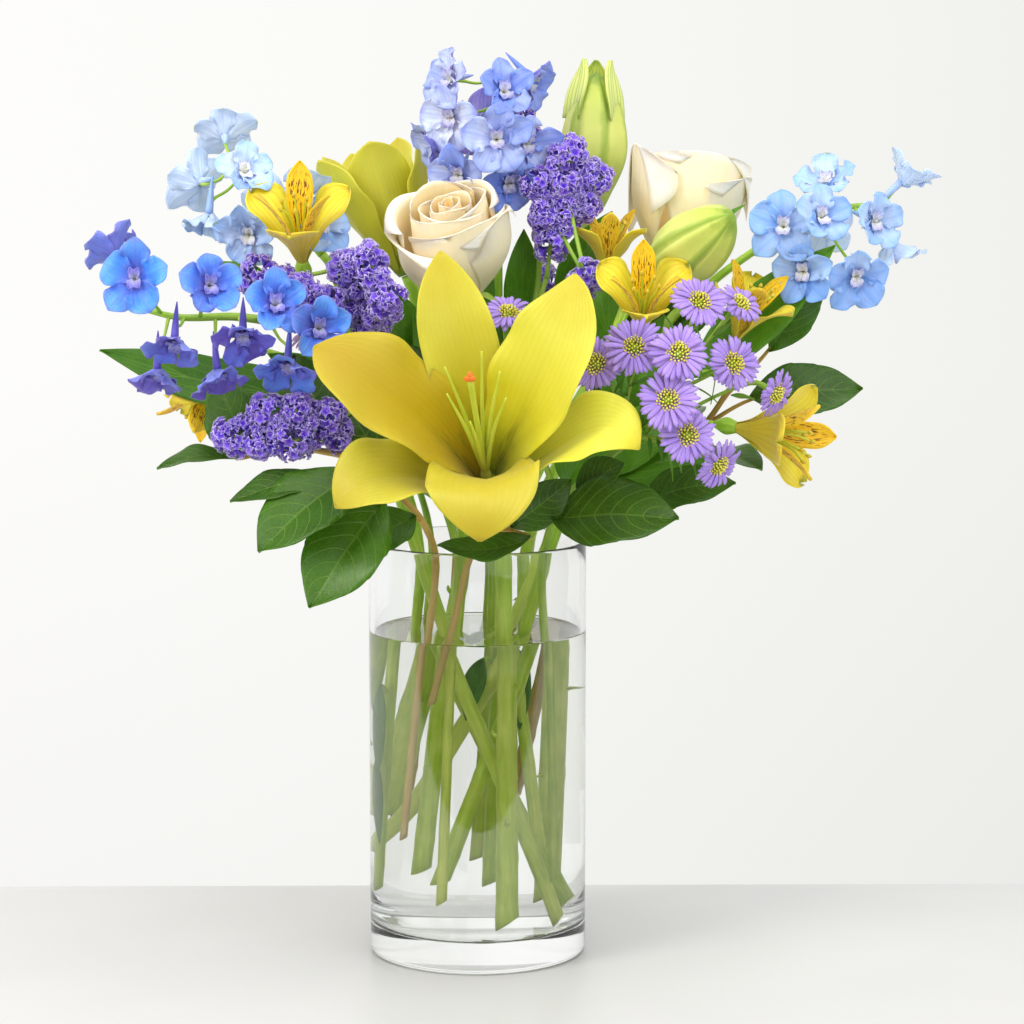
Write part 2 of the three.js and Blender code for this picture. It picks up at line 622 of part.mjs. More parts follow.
function delphinium(name, { colour, rachis, florets }) {
  const stem = STEMS["delphinium_" + name];
  const way = V(rachis[1]).sub(V(rachis[0])).normalize();
  const last = V(rachis[0]).addScaledVector(way, -GAP).toArray();
  const before = V(rachis[0]).addScaledVector(way, -6).toArray();
  add(`delphinium_${name}_stem`, stemRod(stem, [before, last]), COLOUR.stem);
  const spine = new THREE.CatmullRomCurve3(rachis.map(V), false, "centripetal");
  const body = spine.getPoints(4).map((p) => p.toArray());
  const parts = [rod(body, body.map((_, i) => mix(1.9, 1.1, i / 4)), 4)];
  for (const [place, axis, open, from] of florets) {
    const frame = frameAt(place, axis);
    parts.push(floret(open).applyMatrix4(frame));
    const under = pointOn(frame, [0, 5.5, mix(5, 0.9, open)]);
    parts.push(rod([spine.getPoint(from).toArray(), under], 0.9, 3));
    // a widely open floret hides its spur
    if (open < 0.8) parts.push(rod([[0, 2, 1], [0, 7, -15]].map((at) => pointOn(frame, at)), [1.5, 0], 3));
  }
  add(`delphinium_${name}_florets`, join(parts), colour);
}
for (const [name, one] of Object.entries(DELPHINIUMS)) delphinium(name, one);

// ---------------------------------------------------------------- statice
// Each head is a knot of small papery cups round a core: place and radius.
const STATICE = {
  left: {
    branches: { upper: [[-46, -34, 268], [-54, -36, 292]], lower: [[-46, -34, 268], [-54, -42, 262]] },
    heads: {
      upper: [
        [[-67, -39, 309], 9], [[-82, -37, 315], 10], [[-98, -30, 321], 10], [[-60, -36, 325], 9],
        [[-48, -45, 328], 9], [[-41, -50, 311], 9],
      ],
      lower: [
        [[-68, -53, 258], 10], [[-82, -58, 248], 10], [[-94, -54, 260], 10], [[-109, -54, 250], 10],
      ],
    },
  },
  centre: {
    branches: { middle: [[24, 4, 290], [32, -1, 318]], rear: [[24, 4, 290], [29, 16, 320], [28, 27, 352]] },
    heads: {
      middle: [
        [[34, -5, 335], 9], [[40, -3, 350], 10], [[54, 1, 364], 9], [[43, 0, 373], 10], [[29, -2, 361], 9],
        [[50, -18, 319], 9],
      ],
      rear: [[[26, 30, 374], 9], [[20, 33, 392], 9]],
    },
  },
  back: {
    branches: { back_left: [[0, 50, 265], [-12, 53, 284]], back_right: [[0, 50, 265], [14, 55, 284]] },
    heads: {
      back_left: [[[-20, 55, 298], 11], [[-24, 58, 314], 10]],
      back_right: [[[22, 58, 298], 11], [[32, 56, 312], 10]],
    },
  },
};
// A head is a knot of six flared cups in one body: the square sides of a small cuboctahedron, drawn out.
function staticeHead(place, radius, turn) {
  const points = [];
  const index = [];
  const face = (...corners) => {
    const [a, b, c] = corners.map(V);
    const out = b.clone().sub(a).cross(c.clone().sub(a)).dot(a.clone().add(b).add(c)) > 0;
    index.push(points.length, points.length + (out ? 1 : 2), points.length + (out ? 2 : 1));
    points.push(a, b, c);
  };
  const core = radius * 0.5;
  const axes = [0, 1, 2];
  for (const sign of [0, 1, 2, 3, 4, 5, 6, 7].map((k) => axes.map((i) => (k & (1 << i) ? 1 : -1)))) {
    face(...axes.map((skip) => axes.map((i) => (i === skip ? 0 : sign[i] * core))));
  }
  for (const axis of axes) {
    const [u, v] = [(axis + 1) % 3, (axis + 2) % 3];
    for (const way of [-1, 1]) {
      const at = (along, a, b) => {
        const p = [0, 0, 0];
        [p[axis], p[u], p[v]] = [way * along, a, b];
        return p;
      };
      const quarter = [[1, 0], [0, 1], [-1, 0], [0, -1]];
      const wide = radius * 0.5;
      for (let k = 0; k < 4; k++) {
        const [a, b] = [quarter[k], quarter[(k + 1) % 4]];
        const low = [a, b].map(([x, y]) => at(core, x * core, y * core));
        const high = [a, b].map(([x, y]) => at(radius, x * wide, y * wide));
        face(low[0], low[1], high[1]);
        face(low[0], high[1], high[0]);
        face(high[0], high[1], at(radius * 0.72, 0, 0));
      }
    }
  }
  const geometry = new THREE.BufferGeometry().setFromPoints(points).setIndex(index);
  const spin = new THREE.Matrix4().makeRotationFromEuler(new THREE.Euler(turn, 1.7 * turn, 0.6 * turn));
  return geometry.applyMatrix4(spin.setPosition(V(place)));
}

function statice(name, { branches, heads }) {
  const stem = stemRod(STEMS["statice_" + name]);
  const side = Object.values(branches).map((line) => twig(line, 1.3, 4));
  add(`statice_${name}_stem`, join([stem, ...side]), COLOUR.stem);
  for (const [group, list] of Object.entries(heads)) {
    const parts = list.map(([place, radius], i) => staticeHead(place, radius, 1 + i));
    for (let i = 1; i < list.length; i++) {
      const [from, to] = [list[i - 1], list[i]];
      if (V(from[0]).distanceTo(V(to[0])) > 1.7 * from[1]) parts.push(rod([from[0], to[0]], 1.3, 3));
    }
    const end = branches[group].at(-1);
    const way = V(list[0][0]).sub(V(end)).normalize();
    parts.push(rod([V(end).addScaledVector(way, GAP).toArray(), list[0][0]], 1.3, 4));
    add("statice_" + group, join(parts), COLOUR.statice);
  }
}
for (const [name, one] of Object.entries(STATICE)) statice(name, one);

// ---------------------------------------------------------------- asters
// roots and forks are where side branches leave the stem and end. Each head: its middle, facing and radius.
// from says which fork carries each head.
const ASTERS = {
  right: {
    roots: [[72, -52, 250], [72, -52, 250], [38, -30, 215]],
    forks: [[72, -52, 250], [84, -56, 268], [66, -56, 262], [24, -20, 252]],
    heads: [
      [[69, -84, 292], [-0.1, -0.9, 0.42], 14.5], [[88, -91, 290], [0.05, -0.9, 0.42], 14],
      [[98, -72, 311], [0.15, -0.8, 0.58], 13.5], [[83, -95, 270], [0, -0.94, 0.34], 14.5],
      [[92, -90, 254], [0.15, -0.93, 0.3], 13.5], [[53, -76, 284], [-0.3, -0.88, 0.36], 13],
      [[113, -72, 284], [0.4, -0.86, 0.3], 13.5], [[117, -58, 309], [0.5, -0.6, 0.6], 11],
      [[133, -58, 270], [0.65, -0.6, -0.3], 11.5], [[106, -78, 240], [0.6, -0.7, -0.35], 12.5],
      [[14, -58, 305], [0.1, -0.6, 0.8], 12],
    ],
    from: [2, 1, 1, 0, 0, 2, 1, 1, 0, 0, 3],
  },
  back: {
    roots: [],
    forks: [[-44, 48, 245]],
    heads: [
      [[-66, 66, 268], [-0.4, 0.8, 0.45], 14], [[-78, 54, 290], [-0.6, 0.6, 0.5], 13.5],
    ],
    from: [0, 0],
  },
};
const RAYS = 9;

const asterHead = ([place, axis, radius]) => {
  const corners = [[-0.22, radius, 0.4], [0.22, radius, 0.4], [0.5, radius * 0.34, 0.2]];
  const head = corolla({ petals: RAYS, corners, dish: [3.6, 1.6], knob: 2.4, root: -3 });
  return head.applyMatrix4(frameAt(place, axis));
};

function aster(name, { roots, forks, heads, from }) {
  const stem = STEMS["aster_" + name];
  const parts = [stemRod(stem)];
  forks.slice(1).forEach((fork, i) => parts.push(twig([roots[i], fork], 1.4, 4)));
  const rays = heads.map((head, i) => {
    const [place, axis] = head;
    const frame = frameAt(place, axis);
    const way = [forks[from[i]], pointOn(frame, [0, 0, -12]), pointOn(frame, [0, 0, -3 - GAP])];
    parts.push(rod(way, [1, 0.9, 0.9], 3));
    return asterHead(head);
  });
  add(`aster_${name}_stem`, join(parts), COLOUR.stem);
  const whole = solidOf(join(rays)).decompose();
  whole.forEach((body, i) => add(`aster_${name}_heads_${i + 1}`, geometryOf(body), COLOUR.aster));
}
for (const [name, one] of Object.entries(ASTERS)) aster(name, one);

// ---------------------------------------------------------------- alstroemerias
// place of the bloom's throat, facing, roll and size
const ALSTROEMERIAS = {
  left: {
    blooms: {
      a: [[-80, -20, 330], [-0.05, -0.5, 0.86], 0, 1],
      b: [[-122, 2, 272], [-0.45, -0.2, -0.75], 30, 0.75],
    },
    forks: { a: [-64, -8, 305], b: [-50, -2, 270] },
    leaves: [
      { from: [-64, -8, 305], base: [-88, -14, 310], tip: [-126, -16, 325], face: [0.3, -0.8, 0.4], half: 7 },
    ],
  },
  right: {
    blooms: {
      a: [[75, -34, 300], [0, -0.62, 0.78], 0, 0.9],
      b: [[61, 5, 322], [0.02, -0.05, 0.99], 60, 0.72],
      c: [[120, -18, 294], [0.3, -0.35, 0.88], 20, 0.8],
      d: [[122, -30, 251], [0.85, -0.4, -0.1], 30, 1],
    },
    forks: { a: [66, -4, 270], b: [66, -4, 270], c: [66, -4, 270], d: [58, -6, 250] },
    leaves: [],
  },
};

function alstroemeriaBloom() {
  const parts = [rod([[0, 0, -14], [0, 0, -8], [0, 0, -3]], [1.8, 3.6, 2.6], 4)];
  for (let k = 0; k < 3; k++) {
    // broad outer tepals and narrow spotted inner ones
    const broad = { width: outline(10, 0.12, 0.7), cup: (t) => 3 * t, along: 3 };
    parts.push(petal(270 + 120 * k, [[1.5, -5], [6, 10], [16, 24], [27, 24]], broad));
    const narrow = { width: outline(5.5, 0.16, 0.68), along: 3 };
    parts.push(petal(90 + 120 * k, [[1.2, -5], [4, 14], [10, 28], [20, 38]], narrow));
  }
  for (const angle of [0.4, 3.2]) {
    const [c, s] = [Math.cos(angle), Math.sin(angle)];
    parts.push(rod([[0.8 * c, 0.8 * s, -5], [3.2 * c, 3.2 * s, 14], [7 * c, 7 * s, 27]], [0.9, 0.8, 1.4], 3));
  }
  return join(parts);
}

function alstroemeria(name, { blooms, forks, leaves }) {
  const parts = [stemRod(STEMS["alstroemeria_" + name])];
  for (const [key, [place, axis, roll, size]] of Object.entries(blooms)) {
    const frame = frameAt(place, axis, roll, size);
    parts.push(twig([forks[key], pointOn(frame, [0, 0, -22]), pointOn(frame, [0, 0, -14 - GAP])], 1.3, 4));
    add(`alstroemeria_${name}_bloom_${key}`, alstroemeriaBloom().applyMatrix4(frame), COLOUR.alstroemeria);
  }
  parts.push(...leaves.map(leaf));
  add(`alstroemeria_${name}_stem`, join(parts), COLOUR.stem);
}
for (const [name, one] of Object.entries(ALSTROEMERIAS)) alstroemeria(name, one);

// ---------------------------------------------------------------- foliage twigs
// from, base, tip, face, half width and, for the leaf that hangs over the rim, its bend
const FOLIAGE = {
  left: [
    [[-47, -52, 235], [-56, -62, 233], [-96, -88, 202], [-0.3, -0.75, 0.6], 19],
    [[-34, -50, 222], [-42, -64, 221], [-74, -86, 177], [-0.25, -0.9, 0.35], 19],
    [[-50, -51.7, 236.7], [-68, -59, 230], [-110, -68, 222], [0.1, -0.5, 0.86], 10],
    [[-94, -42.4, 243], [-108, -44, 239], [-144, -52, 235], [0, -0.3, 0.95], 9],
    [[-94, -42.4, 243], [-118, -32, 252], [-172, -20, 286], [0.3, -0.8, 0.5], 12],
    [[-94, -42.4, 243], [-102, -34, 240], [-118, -28, 274], [-0.2, -0.95, 0], 14],
  ],
  front: [
    [[12, -53, 208], [24, -62, 205], [-18, -66, 202], [0, -0.6, 0.8], 9, -5],
    [[12, -53, 208], [16, -62, 211], [42, -66, 232], [0.3, -0.9, 0.2], 10],
    [[26, -55, 214], [34, -64, 214], [89, -84, 216], [0, -0.75, 0.65], 19],
    [[62, -46.6, 220], [74, -50, 220], [116, -60, 229], [0, -0.7, 0.7], 12],
    [[44, -52, 220], [46, -54, 226], [66, -66, 239], [0.2, -0.8, 0.5], 9],
  ],
  right: [
    [[104, 14, 246], [128, 5, 261], [180, 3, 266], [0, -0.85, 0.5], 14],
    [[89, 22, 239], [106, -4, 236], [130, -34, 232], [0.3, -0.6, 0.7], 12],
    [[117, 5, 264], [135, -2, 284], [158, -24, 324], [-0.2, -0.85, -0.2], 14],
    [[117, 5, 264], [136, 6, 284], [166, 2, 334], [0.3, -0.9, 0.1], 11],
    [[74, 30, 232], [82, 46, 240], [110, 78, 250], [0.2, 0.2, 0.95], 16],
    [[46, 40, 216], [56, 56, 224], [80, 98, 216], [0.1, 0.4, 0.9], 16],
  ],
  back: [
    [[-12, 52, 214], [-24, 58, 216], [-70, 82, 210], [-0.2, 0.4, 0.9], 17],
    [[-12, 52, 214], [-12, 64, 214], [-22, 112, 200], [0, 0.5, 0.86], 17],
    [[-8, 66, 240], [6, 76, 236], [40, 108, 222], [0.2, 0.5, 0.84], 17],
    [[-1, 70, 260], [6, 80, 264], [34, 98, 288], [0.2, 0.7, -0.5], 14],
  ],
};
for (const [name, leaves] of Object.entries(FOLIAGE)) {
  const blades = leaves.map(([from, base, tip, face, half, bend]) =>
    leaf({ from, base, tip, face, half, bend }),
  );
  add(`foliage_${name}`, join([stemRod(STEMS["salal_" + name]), ...blades]), COLOUR.foliage);
}

export default part;
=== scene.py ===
# %% [markdown]
# # A mixed bouquet in a glass cylinder vase
#
# Cut flowers are made of a few kinds of thing repeated many times: thin curved sheets (petals and leaves), round
# tapering stalks, and small papery cups. This lesson writes one helper for each of those, then uses them flower by
# flower. Everything is measured in millimetres while it grows, and becomes metres when it is made into a mesh.
#
# The frame comes first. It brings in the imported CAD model, whose solids say where every stem and bloom stands.

# %% Load the frame
import math

import bpy
import numpy as np
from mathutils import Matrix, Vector


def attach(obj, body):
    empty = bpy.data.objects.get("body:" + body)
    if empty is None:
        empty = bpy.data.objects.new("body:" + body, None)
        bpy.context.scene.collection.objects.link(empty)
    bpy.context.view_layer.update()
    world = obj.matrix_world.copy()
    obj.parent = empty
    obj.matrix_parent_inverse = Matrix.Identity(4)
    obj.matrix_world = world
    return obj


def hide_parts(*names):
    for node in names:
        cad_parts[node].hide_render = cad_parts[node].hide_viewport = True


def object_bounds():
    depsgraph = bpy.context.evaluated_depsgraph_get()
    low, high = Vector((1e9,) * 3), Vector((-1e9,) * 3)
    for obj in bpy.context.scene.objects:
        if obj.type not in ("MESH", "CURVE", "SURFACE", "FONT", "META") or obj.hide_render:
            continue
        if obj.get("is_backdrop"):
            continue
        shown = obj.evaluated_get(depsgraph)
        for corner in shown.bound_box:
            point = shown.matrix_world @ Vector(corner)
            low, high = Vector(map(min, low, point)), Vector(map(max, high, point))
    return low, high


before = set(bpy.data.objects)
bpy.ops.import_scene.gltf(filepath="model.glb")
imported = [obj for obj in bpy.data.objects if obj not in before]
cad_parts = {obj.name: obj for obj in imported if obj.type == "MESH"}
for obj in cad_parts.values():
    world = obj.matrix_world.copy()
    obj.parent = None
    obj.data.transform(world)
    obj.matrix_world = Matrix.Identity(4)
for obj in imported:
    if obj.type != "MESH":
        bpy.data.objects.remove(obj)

cad_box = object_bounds()
MM = 0.001
chance = np.random.default_rng(20)
print("CAD solids:", len(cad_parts))

# %% [markdown]
# ## Camera, light and table
#
# A product photograph of flowers is taken with a long lens from the height of the top flowers, looking down a
# little. The camera could be aimed by eye, but the vase gives it exactly: its foot and rim are ellipses of a known
# size, and only one distance and height draws both. The light is a bright, nearly white room with three soft lamps:
# a small strong one on the left, which throws a pale shadow to the right, a large weak one on the right, and one
# above. The table ends a hand's breadth behind the vase.

# %% Camera
scene = bpy.context.scene
IMAGE = 1024
FOCAL = 3150  # the lens, in pixels of the image
AIM_U, AIM_V = 477, 111  # where the vase's middle and the horizon fall in the image


def add(name, data):
    """A new object in the scene."""
    made = bpy.data.objects.new(name, data)
    scene.collection.objects.link(made)
    return made


lens = bpy.data.cameras.new("studio_camera")
lens.sensor_width = 36
lens.lens = FOCAL / IMAGE * lens.sensor_width
camera = add("studio_camera", lens)
camera.location = (0, -1.462, 0.395)
camera.rotation_euler = (
    math.radians(90) - math.atan((IMAGE / 2 - AIM_V) / FOCAL),
    0,
    -math.atan((IMAGE / 2 - AIM_U) / FOCAL),
)
scene.camera = camera
scene.view_settings.view_transform = "Standard"
print("lens", round(lens.lens, 1), "mm")


# %% One helper that adds a node
def feed(tree, made, inputs):
    """Fills a node's inputs, by name or number: with a value, from a socket, or from a node's first output."""
    for name, value in inputs.items():
        if isinstance(value, bpy.types.Node):
            value = value.outputs[0]
        if isinstance(value, bpy.types.NodeSocket):
            tree.links.new(value, made.inputs[name])
        else:
            made.inputs[name].default_value = value


def node(tree, kind, inputs=None, stops=None, **settings):
    """Adds a node with its settings and inputs. stops fill a colour ramp."""
    made = tree.nodes.new(kind)
    for name, value in settings.items():
        setattr(made, name, value)
    feed(tree, made, inputs or {})
    if stops:
        points = made.color_ramp.elements
        points[0].position, points[0].color = stops[0]
        points[-1].position, points[-1].color = stops[-1]
        for at, shade in stops[1:-1]:
            points.new(at).color = shade
    return made


def colour(code):
    """An sRGB hex colour as linear red, green, blue and alpha."""
    parts = [int(code[i : i + 2], 16) / 255 for i in (1, 3, 5)]
    return tuple(c / 12.92 if c <= 0.04045 else ((c + 0.055) / 1.055) ** 2.4 for c in parts) + (1,)


def grey(level):
    return (level, level, level, 1)


def finish(name):
    """A new material, with its node tree and its shader."""
    made = bpy.data.materials.new(name)
    made.use_nodes = True
    tree = made.node_tree
    tree.nodes.clear()
    shader = node(tree, "ShaderNodeBsdfPrincipled")
    node(tree, "ShaderNodeOutputMaterial", {"Surface": shader.outputs[0]})
    return made, tree, shader


print("mid grey in linear light:", [round(part, 3) for part in colour("#808080")[:3]])

# %% Room light and lamps
world = bpy.data.worlds.new("white_room")
world.use_nodes = True
tree = world.node_tree
toward = node(tree, "ShaderNodeTexCoord").outputs["Generated"]
right, ahead, up = node(tree, "ShaderNodeSeparateXYZ", {"Vector": toward}).outputs
# the wall behind is a little brighter on the strong lamp's side, and darkens a little towards its foot
fall = node(tree, "ShaderNodeMapRange", {"Value": right, "From Min": -0.2, "From Max": 0.2})
wall = node(
    tree, "ShaderNodeValToRGB", {"Fac": fall},
    stops=[(0.0, colour("#fefdfb")), (0.4, colour("#fbfbf8")), (1.0, colour("#f0f0ec"))],
)
level = node(
    tree, "ShaderNodeMapRange", {"Value": up, "From Min": -0.28, "From Max": -0.08, "To Min": 0.93, "To Max": 1.0}
)
# A dark flag stands below the lens, and only reflections see it: it keeps the pale haze of the room off the glass.
# Light that passes straight through the glass has no glossy bounce behind it, so it doesn't meet the flag.
front = node(tree, "ShaderNodeMapRange", {"Value": ahead, "From Min": 0.0, "From Max": -0.3, "To Max": 0.85})
below = node(tree, "ShaderNodeMapRange", {"Value": up, "From Min": 0.1, "From Max": 0.0})
flag = node(tree, "ShaderNodeMath", {0: front, 1: below}, operation="MULTIPLY")
ray = node(tree, "ShaderNodeLightPath").outputs
bounced = node(tree, "ShaderNodeMath", {0: ray["Glossy Depth"], 1: 0.5}, operation="GREATER_THAN")
for seen in (ray["Is Glossy Ray"], bounced):
    flag = node(tree, "ShaderNodeMath", {0: flag, 1: seen}, operation="MULTIPLY")
level = node(tree, "ShaderNodeMath", {0: level, 1: flag}, operation="SUBTRACT")
feed(tree, tree.nodes["Background"], {"Color": wall, "Strength": level})
scene.world = world


def lamp(name, place, target, size, power, tint):
    """A square soft lamp, its side in metres and its power in watts."""
    light = bpy.data.lights.new(name, "AREA")
    light.size = size
    light.energy = power
    light.color = colour(tint)[:3]
    made = add(name, light)
    made.location = place
    made.rotation_euler = (Vector(target) - Vector(place)).to_track_quat("-Z", "Y").to_euler()


lamp("key_lamp", (-1.5, -1.15, 1.35), (0, 0, 0.22), 0.8, 23, "#fff9ee")
lamp("fill_lamp", (1.1, -1.9, 0.8), (0, 0, 0.25), 2.0, 13, "#f6f9ff")
lamp("top_lamp", (0.35, -0.6, 1.6), (0, 0, 0.2), 1.2, 11, "#ffffff")

# %% The table
table_finish, tree, shader = finish("matt_white_laminate")
# White laminate: very faint mottling keeps it from looking like empty paper.
place = node(tree, "ShaderNodeTexCoord").outputs["Object"]
mottle = node(tree, "ShaderNodeTexNoise", {"Vector": place, "Scale": 9.0, "Detail": 2.0})
tone = node(tree, "ShaderNodeValToRGB", {"Fac": mottle}, stops=[(0.3, grey(0.6)), (0.7, grey(0.63))])
feed(tree, shader, {"Base Color": tone, "Roughness": 0.34})

floor_mesh = bpy.data.meshes.new("table_top")
WIDE, FRONT, REAR, THICK = 2.0, -0.34, 0.121, 0.02  # half its width, its two long edges, and how thick it is
corners = [(x, y, z) for z in (-THICK, 0) for x, y in ((-WIDE, FRONT), (WIDE, FRONT), (WIDE, REAR), (-WIDE, REAR))]
walls = [(a, (a + 1) % 4, (a + 1) % 4 + 4, a + 4) for a in range(4)]
floor_mesh.from_pydata(corners, [], [(3, 2, 1, 0), (4, 5, 6, 7), *walls])
floor_mesh.materials.append(table_finish)
floor = add("table_top", floor_mesh)
floor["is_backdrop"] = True
print("table_top:", len(floor_mesh.polygons), "faces")

# %% [markdown]
# ## The helpers: curves, sheets and stalks
#
# A petal is a sheet less than a millimetre thick. A single surface would do for a still picture, but a closed sheet
# with two sides and a rim is a real body: it can be printed, and light passes through it as through a real petal.
# Each point also remembers where it is on its petal, from base to tip and from edge to edge, and whether it is on
# the underside, so that veins and colours follow the petal and not the room.


# %% Small sums
def unit(v):
    v = np.asarray(v, float)
    return v / (np.linalg.norm(v, axis=-1, keepdims=True) + 1e-12)


def vec(point):
    return np.array(point, float)


def mix(a, b, t):
    return a + (b - a) * t


def sway(width):
    """A random step to either side of nothing."""
    return width * (chance.random() - 0.5)


def between(low, high):
    return mix(low, high, chance.random())


print("a third of the way from 2 to 5:", mix(2, 5, 1 / 3))


# %% Curves
def run_along(line):
    """How far along a line each of its points is."""
    return np.concatenate([[0], np.cumsum(np.linalg.norm(np.diff(line, axis=0), axis=1))])


def profile(*points):
    """A smooth curve of one value through (place, value) points."""
    x, y = np.array(points, float).T
    slope = np.gradient(y, x)

    def at(t):
        t = np.clip(t, x[0], x[-1])
        i = np.clip(np.searchsorted(x, t, side="right") - 1, 0, len(x) - 2)
        h = x[i + 1] - x[i]
        u = (t - x[i]) / h
        rise = (3 - 2 * u) * u * u
        start = u * (1 - u) ** 2 * h * slope[i]
        end = -u * u * (1 - u) * h * slope[i + 1]
        return mix(y[i], y[i + 1], rise) + start + end

    return at


def resample(line, count):
    """The same line with its points evenly spaced."""
    run = run_along(line)
    at = np.linspace(0, run[-1], count)
    return np.stack([np.interp(at, run, line[:, k]) for k in range(3)], 1)


def spline(points, count):
    """Evenly spaced points on a smooth curve through the given ones (centripetal Catmull-Rom)."""
    p = np.array(points, float)
    p = np.vstack([2 * p[0] - p[1], p, 2 * p[-1] - p[-2]])
    rows = []
    for a, b, c, d in zip(p, p[1:], p[2:], p[3:]):
        ab, bc, cd = (max(np.linalg.norm(q), 1e-6) ** 0.5 for q in (b - a, c - b, d - c))
        m = ((b - a) / ab - (c - a) / (ab + bc) + (c - b) / bc) * bc
        n = ((c - b) / bc - (d - b) / (bc + cd) + (d - c) / cd) * bc
        t = np.linspace(0, 1, 16, endpoint=False)[:, None]
        rise = (3 - 2 * t) * t * t
        rows.append(mix(b, c, rise) + t * (1 - t) ** 2 * m - t * t * (1 - t) * n)
    return resample(np.vstack([*rows, p[-2][None]]), count)


def bezier(points, count):
    a, b, c, d = vec(points)
    t = np.linspace(0, 1, count)[:, None]
    return (1 - t) ** 3 * a + 3 * (1 - t) ** 2 * t * b + 3 * (1 - t) * t * t * c + t**3 * d


def widest(width):
    """How far along its length a petal is widest."""
    t = np.linspace(0, 1, 101)
    return round(float(t[np.argmax(width(t))]), 2)


print("a half circle of 10 mm, drawn through five points:", round(run_along(spline(
    [(-10 * math.cos(a), 0, 10 * math.sin(a)) for a in np.linspace(0, math.pi, 5)], 50))[-1], 1), "mm long")


# %% A flower's own frame
class Stand:
    """A frame whose Z is a flower's axis. Azimuth 0 is to the viewer's right, and 90 is up."""

    def __init__(self, place, axis, roll=0.0, scale=1.0):
        z = unit(axis)
        up = (0, 1, 0) if abs(z[2]) > 0.97 else (0, 0, 1)
        x = unit(np.cross(up, z))
        y = np.cross(z, x)
        c, s = math.cos(math.radians(roll)), math.sin(math.radians(roll))
        self.turn = np.stack([x * c + y * s, y * c - x * s, z]) * scale
        self.place = vec(place)

    def put(self, points):
        return np.asarray(points, float) @ self.turn + self.place


def around(azimuth, flat):
    """Points given as (outward, forward), at an azimuth round the axis."""
    flat = vec(flat)
    c, s = math.cos(math.radians(azimuth)), math.sin(math.radians(azimuth))
    return np.stack([flat[:, 0] * c, flat[:, 0] * s, flat[:, 1]], 1)


def tube_faces(rows, sides):
    """The faces between rings of points, and the two rings that close its ends."""
    index = np.arange(rows * sides).reshape(rows, sides)
    ahead = np.roll(index, -1, axis=1)
    faces = np.stack([index[:-1], ahead[:-1], ahead[1:], index[1:]], -1).reshape(-1, 4)
    return faces, [index[0, ::-1].tolist(), index[-1].tolist()]


print("10 mm before a flower that faces the viewer:", Stand((0, 0, 0), (0, -1, 0)).put((0, 0, 10)).round(3))

# %% The heap: one finish, one mesh
class Heap:
    """Gathers sheets and stalks of one finish, in millimetres, until they become one mesh."""

    def __init__(self):
        self.points, self.skin, self.tone, self.age, self.faces, self.size = [], [], [], [], [], 0

    def add(self, points, faces, skin, tone, age, caps=()):
        count = len(points)
        self.points.append(points)
        self.skin.append(skin)
        self.tone.append(np.broadcast_to(tone, count))
        self.age.append(np.broadcast_to(age, count))
        self.faces += (faces + self.size).tolist()
        self.faces += [[i + self.size for i in cap] for cap in caps]
        self.size += count


def form(heap, name):
    """The heap as a mesh object in metres, with its skin, tone and age kept on its points."""
    mesh = bpy.data.meshes.new(name)
    mesh.from_pydata((np.vstack(heap.points) * MM).tolist(), [], heap.faces)
    skin = mesh.attributes.new("skin", "FLOAT_VECTOR", "POINT")
    skin.data.foreach_set("vector", np.vstack(heap.skin).astype(np.float32).ravel())
    for label, rows in (("tone", heap.tone), ("age", heap.age)):
        values = mesh.attributes.new(label, "FLOAT", "POINT")
        values.data.foreach_set("value", np.concatenate(rows).astype(np.float32))
    mesh.polygons.foreach_set("use_smooth", [True] * len(mesh.polygons))
    return add(name, mesh)


def keep(piece, material, nodes):
    """A finished piece rides on the root body, and stands for its CAD nodes."""
    if not piece.data.materials:
        piece.data.materials.append(material)
    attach(piece, "root")
    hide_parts(*nodes)
    print(f"{piece.name}: {len(piece.data.polygons)} faces")


print(f"1 mm in a heap is {MM} m in its mesh")

# %% A sheet with two sides
def sheet(heap, middle, thick, tone, age):
    """A closed thin sheet round a grid of points, which run along it and then across it. It has its full thickness
    along the middle, and about a third of that at the edges."""
    rows, columns = middle.shape[:2]
    along, across = np.meshgrid(np.linspace(0, 1, rows), np.linspace(-1, 1, columns), indexing="ij")
    normal = unit(np.cross(np.gradient(middle, axis=0), np.gradient(middle, axis=1)))
    half = normal * (thick * (1 - 0.65 * across**4))[..., None] / 2
    index = np.arange(rows * columns).reshape(rows, columns)
    top = np.stack([index[:-1, :-1], index[1:, :-1], index[1:, 1:], index[:-1, 1:]], -1).reshape(-1, 4)
    under = top[:, ::-1] + rows * columns
    rim = np.concatenate([index[:, 0], index[-1, 1:], index[-2::-1, -1], index[0, -2::-1]])
    a, b = rim[:-1], rim[1:]
    side = np.stack([b, a, a + rows * columns, b + rows * columns], -1)
    upper = np.stack([along, across, np.zeros((rows, columns))], -1).reshape(-1, 3)
    lower = upper + (0, 0, 1)
    points = np.vstack([(middle + half).reshape(-1, 3), (middle - half).reshape(-1, 3)])
    heap.add(points, np.vstack([top, under, side]), np.vstack([upper, lower]), tone, age)


# %% A blade: a sheet along a line
TEETH_A_SIDE = 34


